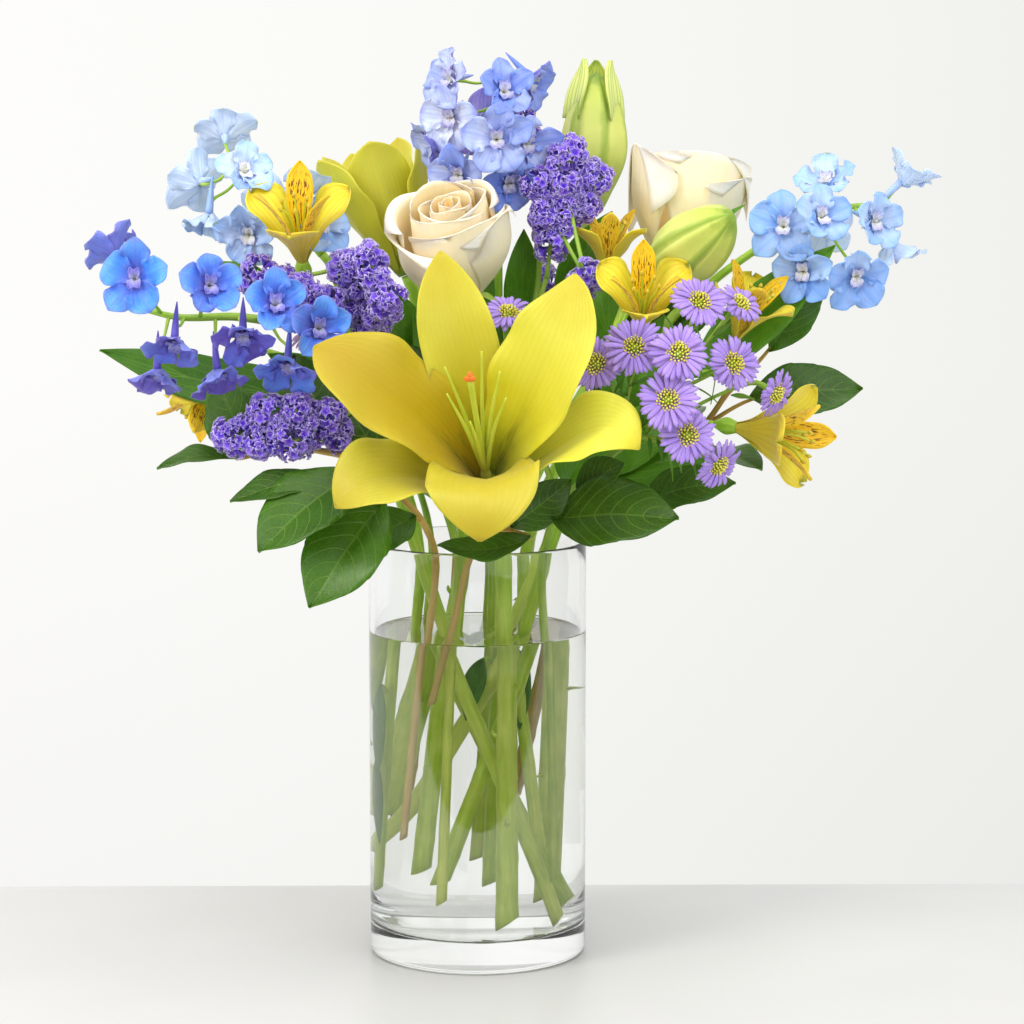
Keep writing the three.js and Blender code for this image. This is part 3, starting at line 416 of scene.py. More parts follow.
def blade(heap, line, half, side=None, face=None, cup=None, fold=None, ruffle=0.0, waves=2.5, groove=0.0,
          columns=11, thick=0.5, tone=0.5, age=0.0, stand=None, teeth=0.0):
    """A petal or leaf along a line. side runs across it, or face is the way its upper side looks. half is its half
    width; cup and fold lift its edges, all three given along it. ruffle, groove and teeth shape edge and middle."""
    rows = len(line)
    t = np.linspace(0, 1, rows)
    tangent = unit(np.gradient(line, axis=0))
    s = np.broadcast_to(side, tangent.shape) if side is not None else np.cross(face, tangent)
    s = unit(s - tangent * np.sum(s * tangent, 1, keepdims=True))
    up = np.cross(tangent, s)
    v = np.linspace(-1, 1, columns)[None, :]
    width = np.maximum(half(t), 0.12)[:, None]
    lift = np.zeros((rows, columns))
    if cup is not None:
        lift = lift + cup(t)[:, None] * v**2
    if fold is not None:
        lift = lift + fold(t)[:, None] * np.abs(v)
    swell = np.sin(np.pi * t)[:, None]
    if groove:
        lift = lift - groove * swell * np.exp(-((v / 0.16) ** 2))
    if ruffle:
        phase = 6.28 * tone
        wave = np.sin(2 * np.pi * waves * t[:, None] + phase + 1.7 * np.sign(v))
        lift = lift + ruffle * wave * swell * np.abs(v) ** 3
    if teeth:
        saw = (t * TEETH_A_SIDE) % 1.0
        width = width * (1 - teeth * saw[:, None] * swell)
    middle = line[:, None] + s[:, None] * (width * v)[..., None] + up[:, None] * lift[..., None]
    if stand:
        middle = stand.put(middle)
    if callable(age):
        age = np.tile(np.clip(age(t[:, None], v) + 0 * lift, 0, 1).ravel(), 2)
    sheet(heap, middle, thick, tone, age)


def petal(heap, stand, azimuth, midrib, half, width, rows=11, **look):
    """A petal on a flower's stand, along a curve of four (outward, forward) points."""
    angle = math.radians(azimuth)
    blade(heap, around(azimuth, bezier(midrib, rows)), lambda t: half * width(t),
          side=(-math.sin(angle), math.cos(angle), 0), stand=stand, **look)


print("teeth along each side of a toothed leaf:", TEETH_A_SIDE)

# %% A stalk
def stalk(heap, line, radius, sides=10, slant=0.0, tone=0.5, age=0.0, cut=False, stand=None, shape=None,
          share=None):
    """A closed round stalk along a line. A cut one shows its pale pith at its first end. shape(t, angle) swells
    or dents it. share is the stretch of a petal's colours that it takes, where it has petal colours."""
    line = stand.put(line) if stand else np.asarray(line, float)
    rows = len(line)
    radius = np.broadcast_to(radius, rows).astype(float)
    tangent = unit(np.gradient(line, axis=0))
    start = np.cross((0, 1, 0), tangent[0])
    side = start if np.linalg.norm(start) > 0.14 else np.cross((1, 0, 0), tangent[0])
    angle = np.linspace(0, 2 * np.pi, sides, endpoint=False)
    rings = []
    for i in range(rows):
        side = unit(side - tangent[i] * (side @ tangent[i]))
        other = np.cross(tangent[i], side)
        reach = radius[i] * (shape(i / (rows - 1), angle) if shape else np.ones(sides))
        ring = line[i] + reach[:, None] * (np.cos(angle)[:, None] * side + np.sin(angle)[:, None] * other)
        if i == 0 and slant:
            ring = ring + slant * radius[0] * np.cos(angle)[:, None] * tangent[0]
        rings.append(ring)
    run = run_along(line)
    if cut:
        pith = rings[0].mean(0) + 0.93 * (rings[0] - rings[0].mean(0))
        rings.insert(0, pith)
        run = np.concatenate([[0], run])
    rows = len(rings)
    if share:
        run = mix(share[0], share[1], run / run[-1])
    along = np.repeat(run, sides)
    turn = np.tile(np.abs(angle / np.pi - 1), rows)  # folded, so that it meets itself without a seam
    skin = np.stack([along, turn, np.zeros(rows * sides)], -1)
    ages = np.full(rows * sides, float(age))
    if cut:
        ages[:sides] = 1
    faces, caps = tube_faces(rows, sides)
    heap.add(np.vstack(rings), faces, skin, tone, ages, caps)


print("helpers ready")

# %% [markdown]
# ## Petal finishes
#
# A petal's colour lies in a thin layer of cells over a pale, wet inside, so it glows where light comes through it
# and is never quite even: it fades towards its base or tip, and fine parallel veins run along it. One function
# builds that for every flower here from its own colours, because the layers are the same and only the pigments,
# the vein spacing and the markings differ.


# %% The skin of a petal
def on_skin(tree):
    """How far along and across its petal a point is, whether it is underneath, the petal's shade and age, and the
    point's place in the bouquet."""
    skin = node(tree, "ShaderNodeAttribute", attribute_name="skin").outputs["Vector"]
    along, across, under = node(tree, "ShaderNodeSeparateXYZ", {"Vector": skin}).outputs
    tone, age = (node(tree, "ShaderNodeAttribute", attribute_name=name).outputs["Fac"] for name in ("tone", "age"))
    return along, across, under, tone, age, node(tree, "ShaderNodeTexCoord").outputs["Object"]


def petal_skin(name, ramp, age_and_shade_tint, under, vein, veins=9.0, vein_share=0.25, glow=0.35, gloss=0.45, mottle_mm=4.0,
               dull=0.55, drift_by=0.24, depth=(1.0, 0.75, 0.4), sheen=0.12):
    """ramp holds (place along the petal, colour). The aged colour tints petals by their age value: older or more
    golden petals, and on the roses a painted warm shade deep in the flower. under tints their undersides. veins is
    how many stand each side of the middle, and depth how far red, green and blue light spreads inside."""
    made, tree, shader = finish(name)
    along, across, below, tone, age, place = on_skin(tree)
    # the pigment from base to tip, with an uneven edge
    cloud = node(
        tree, "ShaderNodeTexNoise", {"Vector": place, "Scale": 1000 / mottle_mm, "Detail": 3.0, "Roughness": 0.6}
    )
    drift = node(tree, "ShaderNodeMath", {0: cloud, 1: 0.5}, operation="SUBTRACT")
    drift = node(tree, "ShaderNodeMath", {0: drift, 1: drift_by, 2: along}, operation="MULTIPLY_ADD")
    pigment = node(tree, "ShaderNodeValToRGB", {"Fac": drift}, stops=[(at, colour(code)) for at, code in ramp])
    # the underside is a little duller
    turned_away = node(tree, "ShaderNodeMath", {0: below, 1: dull}, operation="MULTIPLY")
    # veins run along the petal, closer together towards its base
    spread = node(tree, "ShaderNodeMath", {0: across, 1: veins * math.pi}, operation="MULTIPLY")
    bent = node(tree, "ShaderNodeMath", {0: cloud, 1: 1.6, 2: spread}, operation="MULTIPLY_ADD")
    line = node(tree, "ShaderNodeMath", {0: bent}, operation="COSINE")
    sharp = node(
        tree, "ShaderNodeMapRange",
        {"Value": line, "From Min": 0.35, "From Max": 1.0, "To Min": 0.0, "To Max": vein_share},
    )
    for share, code in ((age, age_and_shade_tint), (turned_away, under), (sharp, vein)):
        pigment = node(
            tree, "ShaderNodeMix", {"Factor": share, 6: pigment, 7: colour(code)}, data_type="RGBA"
        ).outputs[2]
    # each petal is a shade lighter or darker than its neighbours
    level = node(tree, "ShaderNodeMapRange", {"Value": tone, "To Min": 0.86, "To Max": 1.12})
    shade = node(tree, "ShaderNodeHueSaturation", {"Value": level, "Color": pigment})
    # skin cells about a third of a millimetre across, and shallow furrows over the veins
    cells = node(tree, "ShaderNodeTexNoise", {"Vector": place, "Scale": 3000.0, "Detail": 2.0})
    relief = node(tree, "ShaderNodeMath", {0: line, 1: 0.5, 2: cells}, operation="MULTIPLY_ADD")
    feed(tree, shader, {
        "Base Color": shade,
        "Normal": node(tree, "ShaderNodeBump", {"Height": relief, "Strength": 0.35, "Distance": 0.00018}),
        "Roughness": node(
            tree, "ShaderNodeMapRange", {"Value": cloud, "To Min": gloss - 0.08, "To Max": gloss + 0.12}
        ),
        "Subsurface Weight": glow, "Subsurface Radius": depth, "Subsurface Scale": 0.0022,
        "Specular IOR Level": 0.35, "Sheen Weight": sheen, "Sheen Roughness": 0.45,
    })
    return made


# %% The pigments of every flower
LILY_YELLOW = petal_skin(
    "lily_tepal_skin",
    [(0.0, "#6f8f1e"), (0.14, "#a8ae1e"), (0.4, "#d0c926"), (0.75, "#dbd74c"), (1.0, "#cabd2a")],
    age_and_shade_tint="#b59600", under="#c6c440", vein="#b8ac1a", veins=15, vein_share=0.12, glow=0.35, mottle_mm=14,
    depth=(0.8, 0.9, 0.2),
)
# Cream roses: the golden base of the ramp and the aged tint of the heart's petals are partly the rose's own warmer
# heart and partly painted warm shade, for light bounced deep inside the flower.
ROSE_CREAM = petal_skin(
    "rose_petal_skin",
    [(0.0, "#e3bd68"), (0.25, "#f6d998"), (0.6, "#fceac6"), (0.93, "#fef5e4"), (1.0, "#fceed2")],
    age_and_shade_tint="#f8d08a", under="#fdf0d8", vein="#f3d8a0", veins=13, vein_share=0.06, glow=0.45, gloss=0.5, mottle_mm=12,
)
DELPHINIUM_BLUE = petal_skin(
    "delphinium_blue_skin",
    [(0.0, "#7f78d0"), (0.2, "#5b7ee4"), (0.5, "#3b86ee"), (0.82, "#5aa4f6"), (1.0, "#6c93e6")],
    age_and_shade_tint="#6557bf", under="#7f8ede", vein="#3763cc", veins=7, vein_share=0.2, mottle_mm=5, drift_by=0.5,
)
DELPHINIUM_PALE = petal_skin(
    "delphinium_pale_skin",
    [(0.0, "#b9cbf0"), (0.3, "#d9e6fa"), (0.7, "#bcd5f8"), (0.93, "#9dc2f4"), (1.0, "#8aa06a")],
    age_and_shade_tint="#6fa0ea", under="#cbdcf6", vein="#94b3ea", veins=7, vein_share=0.2, mottle_mm=5, drift_by=0.4,
)
DELPHINIUM_LILAC = petal_skin(
    "delphinium_lilac_skin",
    [(0.0, "#c9cdf2"), (0.35, "#e4e9fb"), (0.75, "#c3d2f6"), (1.0, "#8c94e0")],
    age_and_shade_tint="#6b8be6", under="#5a49ae", vein="#8f97dc", veins=7, vein_share=0.25, mottle_mm=5, dull=0.8,
    drift_by=0.45,
)
ALSTROEMERIA_GOLD = petal_skin(
    "alstroemeria_tepal_skin",
    [(0.0, "#a9ae3a"), (0.3, "#dccd2c"), (0.75, "#e6d634"), (0.95, "#dcc624"), (1.0, "#93a02c")],
    age_and_shade_tint="#eec010", under="#dcc040", vein="#d79a0e", veins=7, vein_share=0.35, glow=0.4, mottle_mm=5,
)
ASTER_LILAC = petal_skin(
    "aster_ray_skin",
    [(0.0, "#a583da"), (0.3, "#a786dc"), (0.8, "#b395e4"), (1.0, "#a07fd6")],
    age_and_shade_tint="#9070d0", under="#b7a0e2", vein="#8f6dcc", veins=3, vein_share=0.35, mottle_mm=3,
)
# The pale rim at the end of the ramp is partly the calyx's own papery edge and partly a painted highlight.
STATICE_PURPLE = petal_skin(
    "statice_calyx_paper",
    [(0.0, "#6f8f4a"), (0.2, "#5f40c8"), (0.5, "#8058e8"), (0.82, "#a684f8"), (1.0, "#e0d4fe")],
    age_and_shade_tint="#4a2fa6", under="#6a40d0", vein="#5a3bb0", veins=5, vein_share=0.3, glow=0.35, gloss=0.6, mottle_mm=2,
    sheen=0.0,
)
BUD_GREEN = petal_skin(
    "lily_bud_skin",
    [(0.0, "#86a53a"), (0.2, "#b3c653"), (0.6, "#d3db76"), (0.88, "#c0cd5c"), (1.0, "#7c9a30")],
    age_and_shade_tint="#7fa22f", under="#dfe690", vein="#85a634", veins=6, vein_share=0.7, glow=0.3, mottle_mm=8,
)
print("petal finishes:", len([m for m in bpy.data.materials if "skin" in m.name or "paper" in m.name]))

# %% [markdown]
# Some petals carry marks as well. A lily's throat has a green nectar groove with dark streaks along both sides of
# it, and the narrow tepals of an alstroemeria have short dark flecks, which guide insects inwards. A painted image
# could carry them, but it would have to be laid out for every petal. Noise that is stretched in the petal's own
# coordinates needs no image, and follows the petal wherever it bends.


# %% Marks on a petal
def mark(material, code, reach, breadth, spacing, cover, strength, aged_only=False):
    """Adds dark flecks, drawn out along the petal. They fade between the two places of reach along it, and of
    breadth across it. spacing is how many fit along and across, and cover how little of the skin they take."""
    tree = material.node_tree
    shader = tree.nodes["Principled BSDF"]
    along, across, _, tone, age, _ = on_skin(tree)
    stretch = node(tree, "ShaderNodeCombineXYZ", {
        axis: node(tree, "ShaderNodeMath", {0: value, 1: times}, operation="MULTIPLY")
        for axis, value, times in (("X", along, spacing[0]), ("Y", across, spacing[1]), ("Z", tone, 40.0))
    })
    flecks = node(tree, "ShaderNodeTexNoise", {"Vector": stretch, "Scale": 1.0, "Detail": 1.5})
    spots = node(
        tree, "ShaderNodeMapRange",
        {"Value": flecks, "From Min": cover, "From Max": cover + 0.05, "To Max": strength},
    )
    width = node(tree, "ShaderNodeMath", {0: across}, operation="ABSOLUTE")
    share, near = (
        node(
            tree, "ShaderNodeMapRange",
            {"Value": value, "From Min": full, "From Max": gone, "To Min": 1.0, "To Max": 0.0},
        )
        for value, (full, gone) in ((along, reach), (width, breadth))
    )
    for other in (near, spots, age) if aged_only else (near, spots):
        share = node(tree, "ShaderNodeMath", {0: share, 1: other}, operation="MULTIPLY")
    plain = shader.inputs["Base Color"].links[0].from_socket
    marked = node(tree, "ShaderNodeMix", {"Factor": share, 6: plain, 7: colour(code)}, data_type="RGBA")
    feed(tree, shader, {"Base Color": marked.outputs[2]})


mark(LILY_YELLOW, "#6b7a14", (0.05, 0.42), (0.05, 0.16), (2.0, 2.0), 0.2, 0.55)
mark(LILY_YELLOW, "#4e4410", (0.12, 0.36), (0.12, 0.5), (9.0, 34.0), 0.5, 0.9)
mark(ALSTROEMERIA_GOLD, "#5a2410", (0.75, 0.95), (0.75, 1.0), (13.0, 9.0), 0.55, 0.9, aged_only=True)
print("marks drawn")

# %% [markdown]
# ## Green finishes
#
# Stems are waxy green skins over pale, wet flesh, with fine lengthwise ridges. Leaves are darker, with a glossy
# wax on top, a paler matt underside, and veins that branch from the midrib towards the tip. Twigs have thin brown
# bark. Photographs of bark and leaves could be wrapped round them, but would blur close up and repeat. One function
# for stalks and one for leaves draw the same things with noise and waves, at any distance and without a seam.


# %% Stems and twigs
def rind(name, low, high, pith, ridges, gloss, glow, foot=None):
    """The skin of a stalk: low is its darkest shade, high its middle and lightest ones, pith the colour of a fresh
    cut, and foot two brighter greens painted on the length that stands in the water: painted light, in place of
    the light that the glass and water keep from it."""
    made, tree, shader = finish(name)
    along, across, _, tone, age, place = on_skin(tree)
    # ridges run along the stalk, so the pattern is stretched along it
    angle = node(tree, "ShaderNodeMath", {0: across, 1: math.pi}, operation="MULTIPLY")
    ring = node(tree, "ShaderNodeCombineXYZ", {
        "X": node(tree, "ShaderNodeMath", {0: angle}, operation="COSINE"),
        "Y": node(tree, "ShaderNodeMath", {0: angle}, operation="SINE"),
        "Z": node(tree, "ShaderNodeMath", {0: along, 1: 0.03}, operation="MULTIPLY"),
    })
    grain = node(tree, "ShaderNodeTexNoise", {"Vector": ring, "Scale": ridges, "Detail": 4.0})
    patch = node(tree, "ShaderNodeTexNoise", {"Vector": place, "Scale": 60.0, "Detail": 3.0})
    blend = node(tree, "ShaderNodeMath", {0: grain, 1: patch}, operation="ADD")
    blend = node(tree, "ShaderNodeMath", {0: tone, 1: 0.9, 2: blend}, operation="MULTIPLY_ADD")
    shade = node(tree, "ShaderNodeMapRange", {"Value": blend, "From Min": 0.75, "From Max": 2.1})
    green = node(
        tree, "ShaderNodeValToRGB", {"Fac": shade},
        stops=[(0.0, colour(low)), (0.5, colour(high[0])), (1.0, colour(high[1]))],
    )
    # Painted light: the length in and just above the water is painted brighter, in place of the light that the glass
    # and water keep from it.
    if foot:
        streak = node(tree, "ShaderNodeMapRange", {"Value": blend, "From Min": 1.0, "From Max": 1.75})
        painted_water_light = node(
            tree, "ShaderNodeMix", {"Factor": streak, 6: colour(foot[0]), 7: colour(foot[1])}, data_type="RGBA"
        )
        up = node(tree, "ShaderNodeSeparateXYZ", {"Vector": place}).outputs["Z"]
        depth = node(tree, "ShaderNodeMapRange", {"Value": up, "From Min": 0.21, "From Max": 0.14, "To Max": 0.8})
        green = node(
            tree, "ShaderNodeMix", {"Factor": depth, 6: green, 7: painted_water_light.outputs[2]}, data_type="RGBA"
        ).outputs[2]
    cut = node(tree, "ShaderNodeMix", {"Factor": age, 6: green, 7: colour(pith)}, data_type="RGBA")
    feed(tree, shader, {
        "Base Color": cut.outputs[2],
        "Normal": node(tree, "ShaderNodeBump", {"Height": grain, "Strength": 0.5, "Distance": 0.0003}),
        "Roughness": node(tree, "ShaderNodeMapRange", {"Value": patch, "To Min": gloss, "To Max": gloss + 0.2}),
        "Subsurface Weight": glow, "Subsurface Radius": (0.7, 1.0, 0.3), "Subsurface Scale": 0.002,
        "Specular IOR Level": 0.45,
    })
    return made


# The foot pairs below are painted light: brighter greens on the length in the water, where the glass keeps light
# away.
GREEN_STEM = rind(
    "green_stem_skin", "#6fa022", ("#9fc83a", "#c8dc6a"), "#f6f6dc", 2.2, 0.3, 0.3, foot=("#bcdc24", "#f4fc84")
)
FINE_STALK = rind(
    "fine_stalk_skin", "#557f24", ("#86ac34", "#b8cc62"), "#eef0c4", 1.6, 0.4, 0.2, foot=("#a6cc20", "#eef874")
)
TWIG_BARK = rind(
    "salal_twig_bark", "#8a6a2c", ("#b4923e", "#d2b566"), "#e6d9a8", 3.0, 0.55, 0.05, foot=("#d8b250", "#ecd488")
)
FILAMENT = rind("stamen_filament_skin", "#a9b82c", ("#c6d04a", "#dfe082"), "#e0701a", 1.2, 0.4, 0.35)
print("stalk finishes:", [made.name for made in (GREEN_STEM, FINE_STALK, TWIG_BARK, FILAMENT)])


# %% Leaves
def leaf_wax(name, dark, light, vein, below, ribs, lean, gloss):
    """ribs is how many side veins leave each side of the midrib, and lean how far they run forward."""
    made, tree, shader = finish(name)
    along, across, beneath, tone, _, place = on_skin(tree)
    cloud = node(tree, "ShaderNodeTexNoise", {"Vector": place, "Scale": 70.0, "Detail": 4.0, "Roughness": 0.55})
    base = node(tree, "ShaderNodeMath", {0: tone, 1: 0.6, 2: cloud}, operation="MULTIPLY_ADD")
    shade = node(tree, "ShaderNodeMapRange", {"Value": base, "From Min": 0.3, "From Max": 1.2})
    green = node(tree, "ShaderNodeValToRGB", {"Fac": shade}, stops=[(0.0, colour(dark)), (1.0, colour(light))])
    # side veins: evenly spaced lines that lean towards the tip and curve as they near the edge
    width = node(tree, "ShaderNodeMath", {0: across}, operation="ABSOLUTE")
    curve = node(tree, "ShaderNodeMath", {0: width, 1: 1.5}, operation="POWER")
    lag = node(tree, "ShaderNodeMath", {0: curve, 1: -lean, 2: along}, operation="MULTIPLY_ADD")
    turn = node(tree, "ShaderNodeMath", {0: lag, 1: ribs * 2 * math.pi}, operation="MULTIPLY")
    wobble = node(tree, "ShaderNodeMath", {0: cloud, 1: 2.2, 2: turn}, operation="MULTIPLY_ADD")
    wave = node(tree, "ShaderNodeMath", {0: wobble}, operation="COSINE")
    rib = node(tree, "ShaderNodeMapRange", {"Value": wave, "From Min": 0.93, "From Max": 1.0})
    middle = node(
        tree, "ShaderNodeMapRange",
        {"Value": width, "From Min": 0.0, "From Max": 0.05, "To Min": 1.0, "To Max": 0.0},
    )
    lines = node(tree, "ShaderNodeMath", {0: rib, 1: middle}, operation="MAXIMUM")
    # the finest veins make a net about 2 mm wide
    net = node(tree, "ShaderNodeTexVoronoi", {"Vector": place, "Scale": 480.0}, feature="DISTANCE_TO_EDGE")
    mesh = node(tree, "ShaderNodeMapRange", {"Value": net, "From Max": 0.12, "To Min": 0.12, "To Max": 0.0})
    shown = node(tree, "ShaderNodeMath", {0: lines, 1: 0.42}, operation="MULTIPLY")
    shown = node(tree, "ShaderNodeMath", {0: shown, 1: mesh}, operation="MAXIMUM")
    turned_away = node(tree, "ShaderNodeMath", {0: beneath, 1: 0.7}, operation="MULTIPLY")
    for share, code in ((shown, vein), (turned_away, below)):
        green = node(
            tree, "ShaderNodeMix", {"Factor": share, 6: green, 7: colour(code)}, data_type="RGBA"
        ).outputs[2]
    relief = node(tree, "ShaderNodeMath", {0: shown, 1: -1.0}, operation="MULTIPLY")
    feed(tree, shader, {
        "Base Color": green,
        "Normal": node(tree, "ShaderNodeBump", {"Height": relief, "Strength": 0.6, "Distance": 0.0004}),
        "Roughness": node(tree, "ShaderNodeMath", {0: beneath, 1: 0.3, 2: gloss}, operation="MULTIPLY_ADD"),
        "Subsurface Weight": 0.12, "Subsurface Radius": (0.5, 1.0, 0.2), "Subsurface Scale": 0.0015,
        "Specular IOR Level": 0.35,
    })
    return made


SALAL_LEAF = leaf_wax("salal_leaf_wax", "#243f06", "#3f6c0c", "#76983a", "#6f9440", 8, 0.3, 0.36)
BROAD_LEAF = leaf_wax("alstroemeria_leaf_wax", "#34640c", "#5c941c", "#82ac3e", "#86ac4a", 3, 1.2, 0.36)
print("green finishes ready")

# %% [markdown]
# ## Vase and water
#
# The vase is a drawn glass tube with a thick, clear base and a fire-polished rim. A cylinder with a Solidify
# modifier would have sharp corners, which clear glass shows at once as hard black lines, so the whole wall is one
# turned profile with small arcs at the foot, the rim and the inner corner. The water is its own closed body. It
# reaches a tenth of a millimetre into the glass: with a gap of air there, light would bend the wrong way.

# %% Turned profiles
VASE_R, VASE_H, WALL, BASE = 51.0, 196.0, 2.5, 14.0
BORE = VASE_R - WALL  # the radius of its inside
WATER_LEVEL = 153.0
SOAK = 0.1  # how far the water reaches into the glass


def arc(centre, radius, start, end, count=7):
    """Points round a corner, from one angle to another, in degrees."""
    angle = np.radians(np.linspace(start, end, count))
    return [(centre[0] + radius * math.cos(a), centre[1] + radius * math.sin(a)) for a in angle]


def turned(name, outline, sides):
    """A closed body turned round the Z axis. The outline starts and ends on the axis, foot first."""
    ring = np.array(outline[1:-1])
    angle = np.linspace(0, 2 * np.pi, sides, endpoint=False)
    points = np.stack([
        np.outer(ring[:, 0], np.cos(angle)),
        np.outer(ring[:, 0], np.sin(angle)),
        np.repeat(ring[:, 1:], sides, axis=1),
    ], -1).reshape(-1, 3)
    faces, _ = tube_faces(len(ring), sides)
    foot, top, last = len(points), len(points) + 1, len(points) - sides
    faces = faces.tolist()
    faces += [[foot, (k + 1) % sides, k] for k in range(sides)]
    faces += [[top, last + k, last + (k + 1) % sides] for k in range(sides)]
    points = np.vstack([points, (0, 0, outline[0][1]), (0, 0, outline[-1][1])])
    mesh = bpy.data.meshes.new(name)
    mesh.from_pydata((points * MM).tolist(), [], faces)
    mesh.polygons.foreach_set("use_smooth", [True] * len(faces))
    return add(name, mesh)


print("bore of the vase:", 2 * BORE, "mm")

# %% The glass
glass, tree, shader = finish("clear_soda_lime_glass")
# Soda-lime glass: colourless, with a faint ripple left by the drawing, which bends what is seen through it.
place = node(tree, "ShaderNodeTexCoord").outputs["Object"]
ripple = node(tree, "ShaderNodeTexNoise", {"Vector": place, "Scale": 26.0, "Detail": 1.0})
feed(tree, shader, {
    "Base Color": colour("#fdfefe"), "Transmission Weight": 1.0, "IOR": 1.5,
    "Normal": node(tree, "ShaderNodeBump", {"Height": ripple, "Strength": 0.12, "Distance": 0.0008}),
    "Roughness": node(tree, "ShaderNodeMapRange", {"Value": ripple, "To Min": 0.0, "To Max": 0.015}),
})

vase_outline = [
    (0, 0.5), (40, 0.5), (44, 0.2), (46.5, 0.0),
    *arc((VASE_R - 3, 3), 3, -90, 0),
    *[(VASE_R, z) for z in np.linspace(12, 186, 12)],
    *arc((VASE_R - WALL / 2, VASE_H - WALL / 2), WALL / 2, 0, 180, 11),
    *[(BORE, z) for z in np.linspace(186, 30, 10)],
    *arc((BORE - 6, BASE + 6), 6, 0, -90, 9),
    (36, BASE - 0.25), (24, BASE - 0.45), (10, BASE - 0.55), (0, BASE - 0.6),
]
vase = turned("glass_vase", vase_outline, 160)
keep(vase, glass, ["vase"])

# %% The water
water_finish, tree, shader = finish("vase_water")
# Fresh water: clear, with the least trace of green from the stems, and a surface that is never quite still.
place = node(tree, "ShaderNodeTexCoord").outputs["Object"]
swell = node(tree, "ShaderNodeTexNoise", {"Vector": place, "Scale": 30.0, "Detail": 1.0})
feed(tree, shader, {
    "Base Color": colour("#fdfefc"), "Roughness": 0.0, "Transmission Weight": 1.0, "IOR": 1.333,
    "Normal": node(tree, "ShaderNodeBump", {"Height": swell, "Strength": 0.08, "Distance": 0.001}),
})

water_outline = [
    (0, BASE - 0.7), (10, BASE - 0.65), (24, BASE - 0.55), (36, BASE - 0.35),
    *arc((BORE - 6 + SOAK, BASE + 6 - SOAK), 6, -90, 0, 9),
    *[(BORE + SOAK, z) for z in np.linspace(30, WATER_LEVEL, 8)],
    (BORE - 0.05, WATER_LEVEL + 0.9), (BORE - 0.7, WATER_LEVEL + 0.35), (BORE - 1.8, WATER_LEVEL + 0.08),
    (BORE - 3.5, WATER_LEVEL), (30, WATER_LEVEL), (0, WATER_LEVEL),
]
water = turned("vase_water", water_outline, 160)
keep(water, water_finish, ["water"])

# %% [markdown]
# ## Stems
#
# Nineteen cut stems stand in the vase, and each has one route: straight from its slanted cut end to the neck, then
# a curve up to its flower. A curve object with a bevel would give a plain tube. The stalk helper can also swell a
# stem at its joints and show the pale pith of the cut, which are what make a stem look like one under water.

# %% The cut stems, foot first
NECK = 190  # the height where the stems pass the mouth of the vase
# radius; where it stands in the water; where it passes the neck; and its way up to the flower
STEMS = {
    "lily_front": (4.8, [(12, -27, 20)], (12, -27, NECK), [(12, -28, 207)]),
    "lily_back": (4.4, [(-27, 25.5, 62)], (-6, 25.5, NECK), [(-9, 28, 225), (-17, 33, 265)]),
    "rose_left": (3.6, [(-20, 0.5, 40)], (-7, 0.5, NECK), [(-5, 3, 240), (-4, 4, 280)]),
    "rose_right": (3.6, [(20, 25.5, 22)], (24, 25.5, NECK), [(42, 30, 235), (74, 30, 290)]),
    "delphinium_left": (
        3.3, [(33, -16.5, 18)], (-27, -16.5, NECK), [(-38, -17, 225), (-54, -22, 270), (-72, -32, 293)],
    ),
    "delphinium_upper_left": (
        2.8, [(28, 16.5, 20)], (-28, 16.5, NECK), [(-40, 18, 232), (-52, 16, 280), (-66, 8, 318)],
    ),
    "delphinium_top": (2.8, [(4, 25.5, 30)], (8, 25.5, NECK), [(9, 26, 240), (10, 22, 300)]),
    "delphinium_right": (
        3.2, [(-39, 8.5, 46), (-24, 8.5, 66)], (32, 8.5, NECK), [(46, 10, 225), (66, 16, 262), (90, 14, 297)],
    ),
    "statice_left": (2.3, [(-15, -27, 30)], (-9, -27, NECK), [(-17, -30, 220), (-34, -34, 248), (-46, -34, 268)]),
    "statice_centre": (2.5, [(22, 0.5, 50)], (8, 0.5, NECK), [(12, 3, 240), (24, 4, 290)]),
    "statice_back": (2.3, [(0, 37, 40)], (6, 37, NECK), [(4, 44, 230), (0, 50, 265)]),
    "aster_right": (2.2, [(33, -27, 40)], (30, -27, NECK), [(38, -30, 215), (56, -40, 236), (72, -52, 250)]),
    "aster_back": (2.0, [(-30, 30, 80)], (-22, 33, NECK), [(-30, 42, 220), (-44, 48, 245)]),
    "alstroemeria_left": (
        2.8, [(-38, 0.5, 30)], (-27, 0.5, NECK), [(-36, 0, 230), (-50, -2, 270), (-64, -8, 305)],
    ),
    "alstroemeria_right": (
        3.4, [(-14, -8, 36)], (33, -8, NECK), [(42, -8, 215), (58, -6, 250), (66, -4, 270)],
    ),
    "salal_left": (
        1.9, [(-32, -27, 60)], (-19, -29, NECK),
        [(-24, -40, 208), (-34, -50, 222), (-48, -52, 236), (-72, -47, 243), (-96, -42, 243)],
    ),
    "salal_front": (
        1.7, [(-20, -37, 125)], (-4, -38, NECK),
        [(2, -46, 201), (12, -53, 208), (26, -55, 214), (44, -52, 220), (64, -46, 220)],
    ),
    "salal_right": (
        1.9, [(10, 34, 70)], (26, 34, NECK),
        [(29, 36, 200), (46, 40, 216), (74, 30, 232), (104, 14, 246), (118, 4, 266)],
    ),
    "salal_back": (1.9, [(-20, 36, 60)], (-10, 37, NECK), [(-12, 52, 214), (-8, 66, 240), (0, 70, 262)]),
}
STEM_TONE = {name: 0.15 + 0.7 * chance.random() for name in STEMS}
print("stems to place:", len(STEMS))


# %% Stem helpers
def stem_route(name, ends=(), count=70):
    """The stem's line: through its feet, straight up to the neck, and on to where its flower sits."""
    _, feet, neck, route = STEMS[name]
    straight = [mix(vec(feet[-1]), vec(neck), t) for t in (0.35, 0.7)]
    return spline([*feet, *straight, neck, *route, *ends], count)


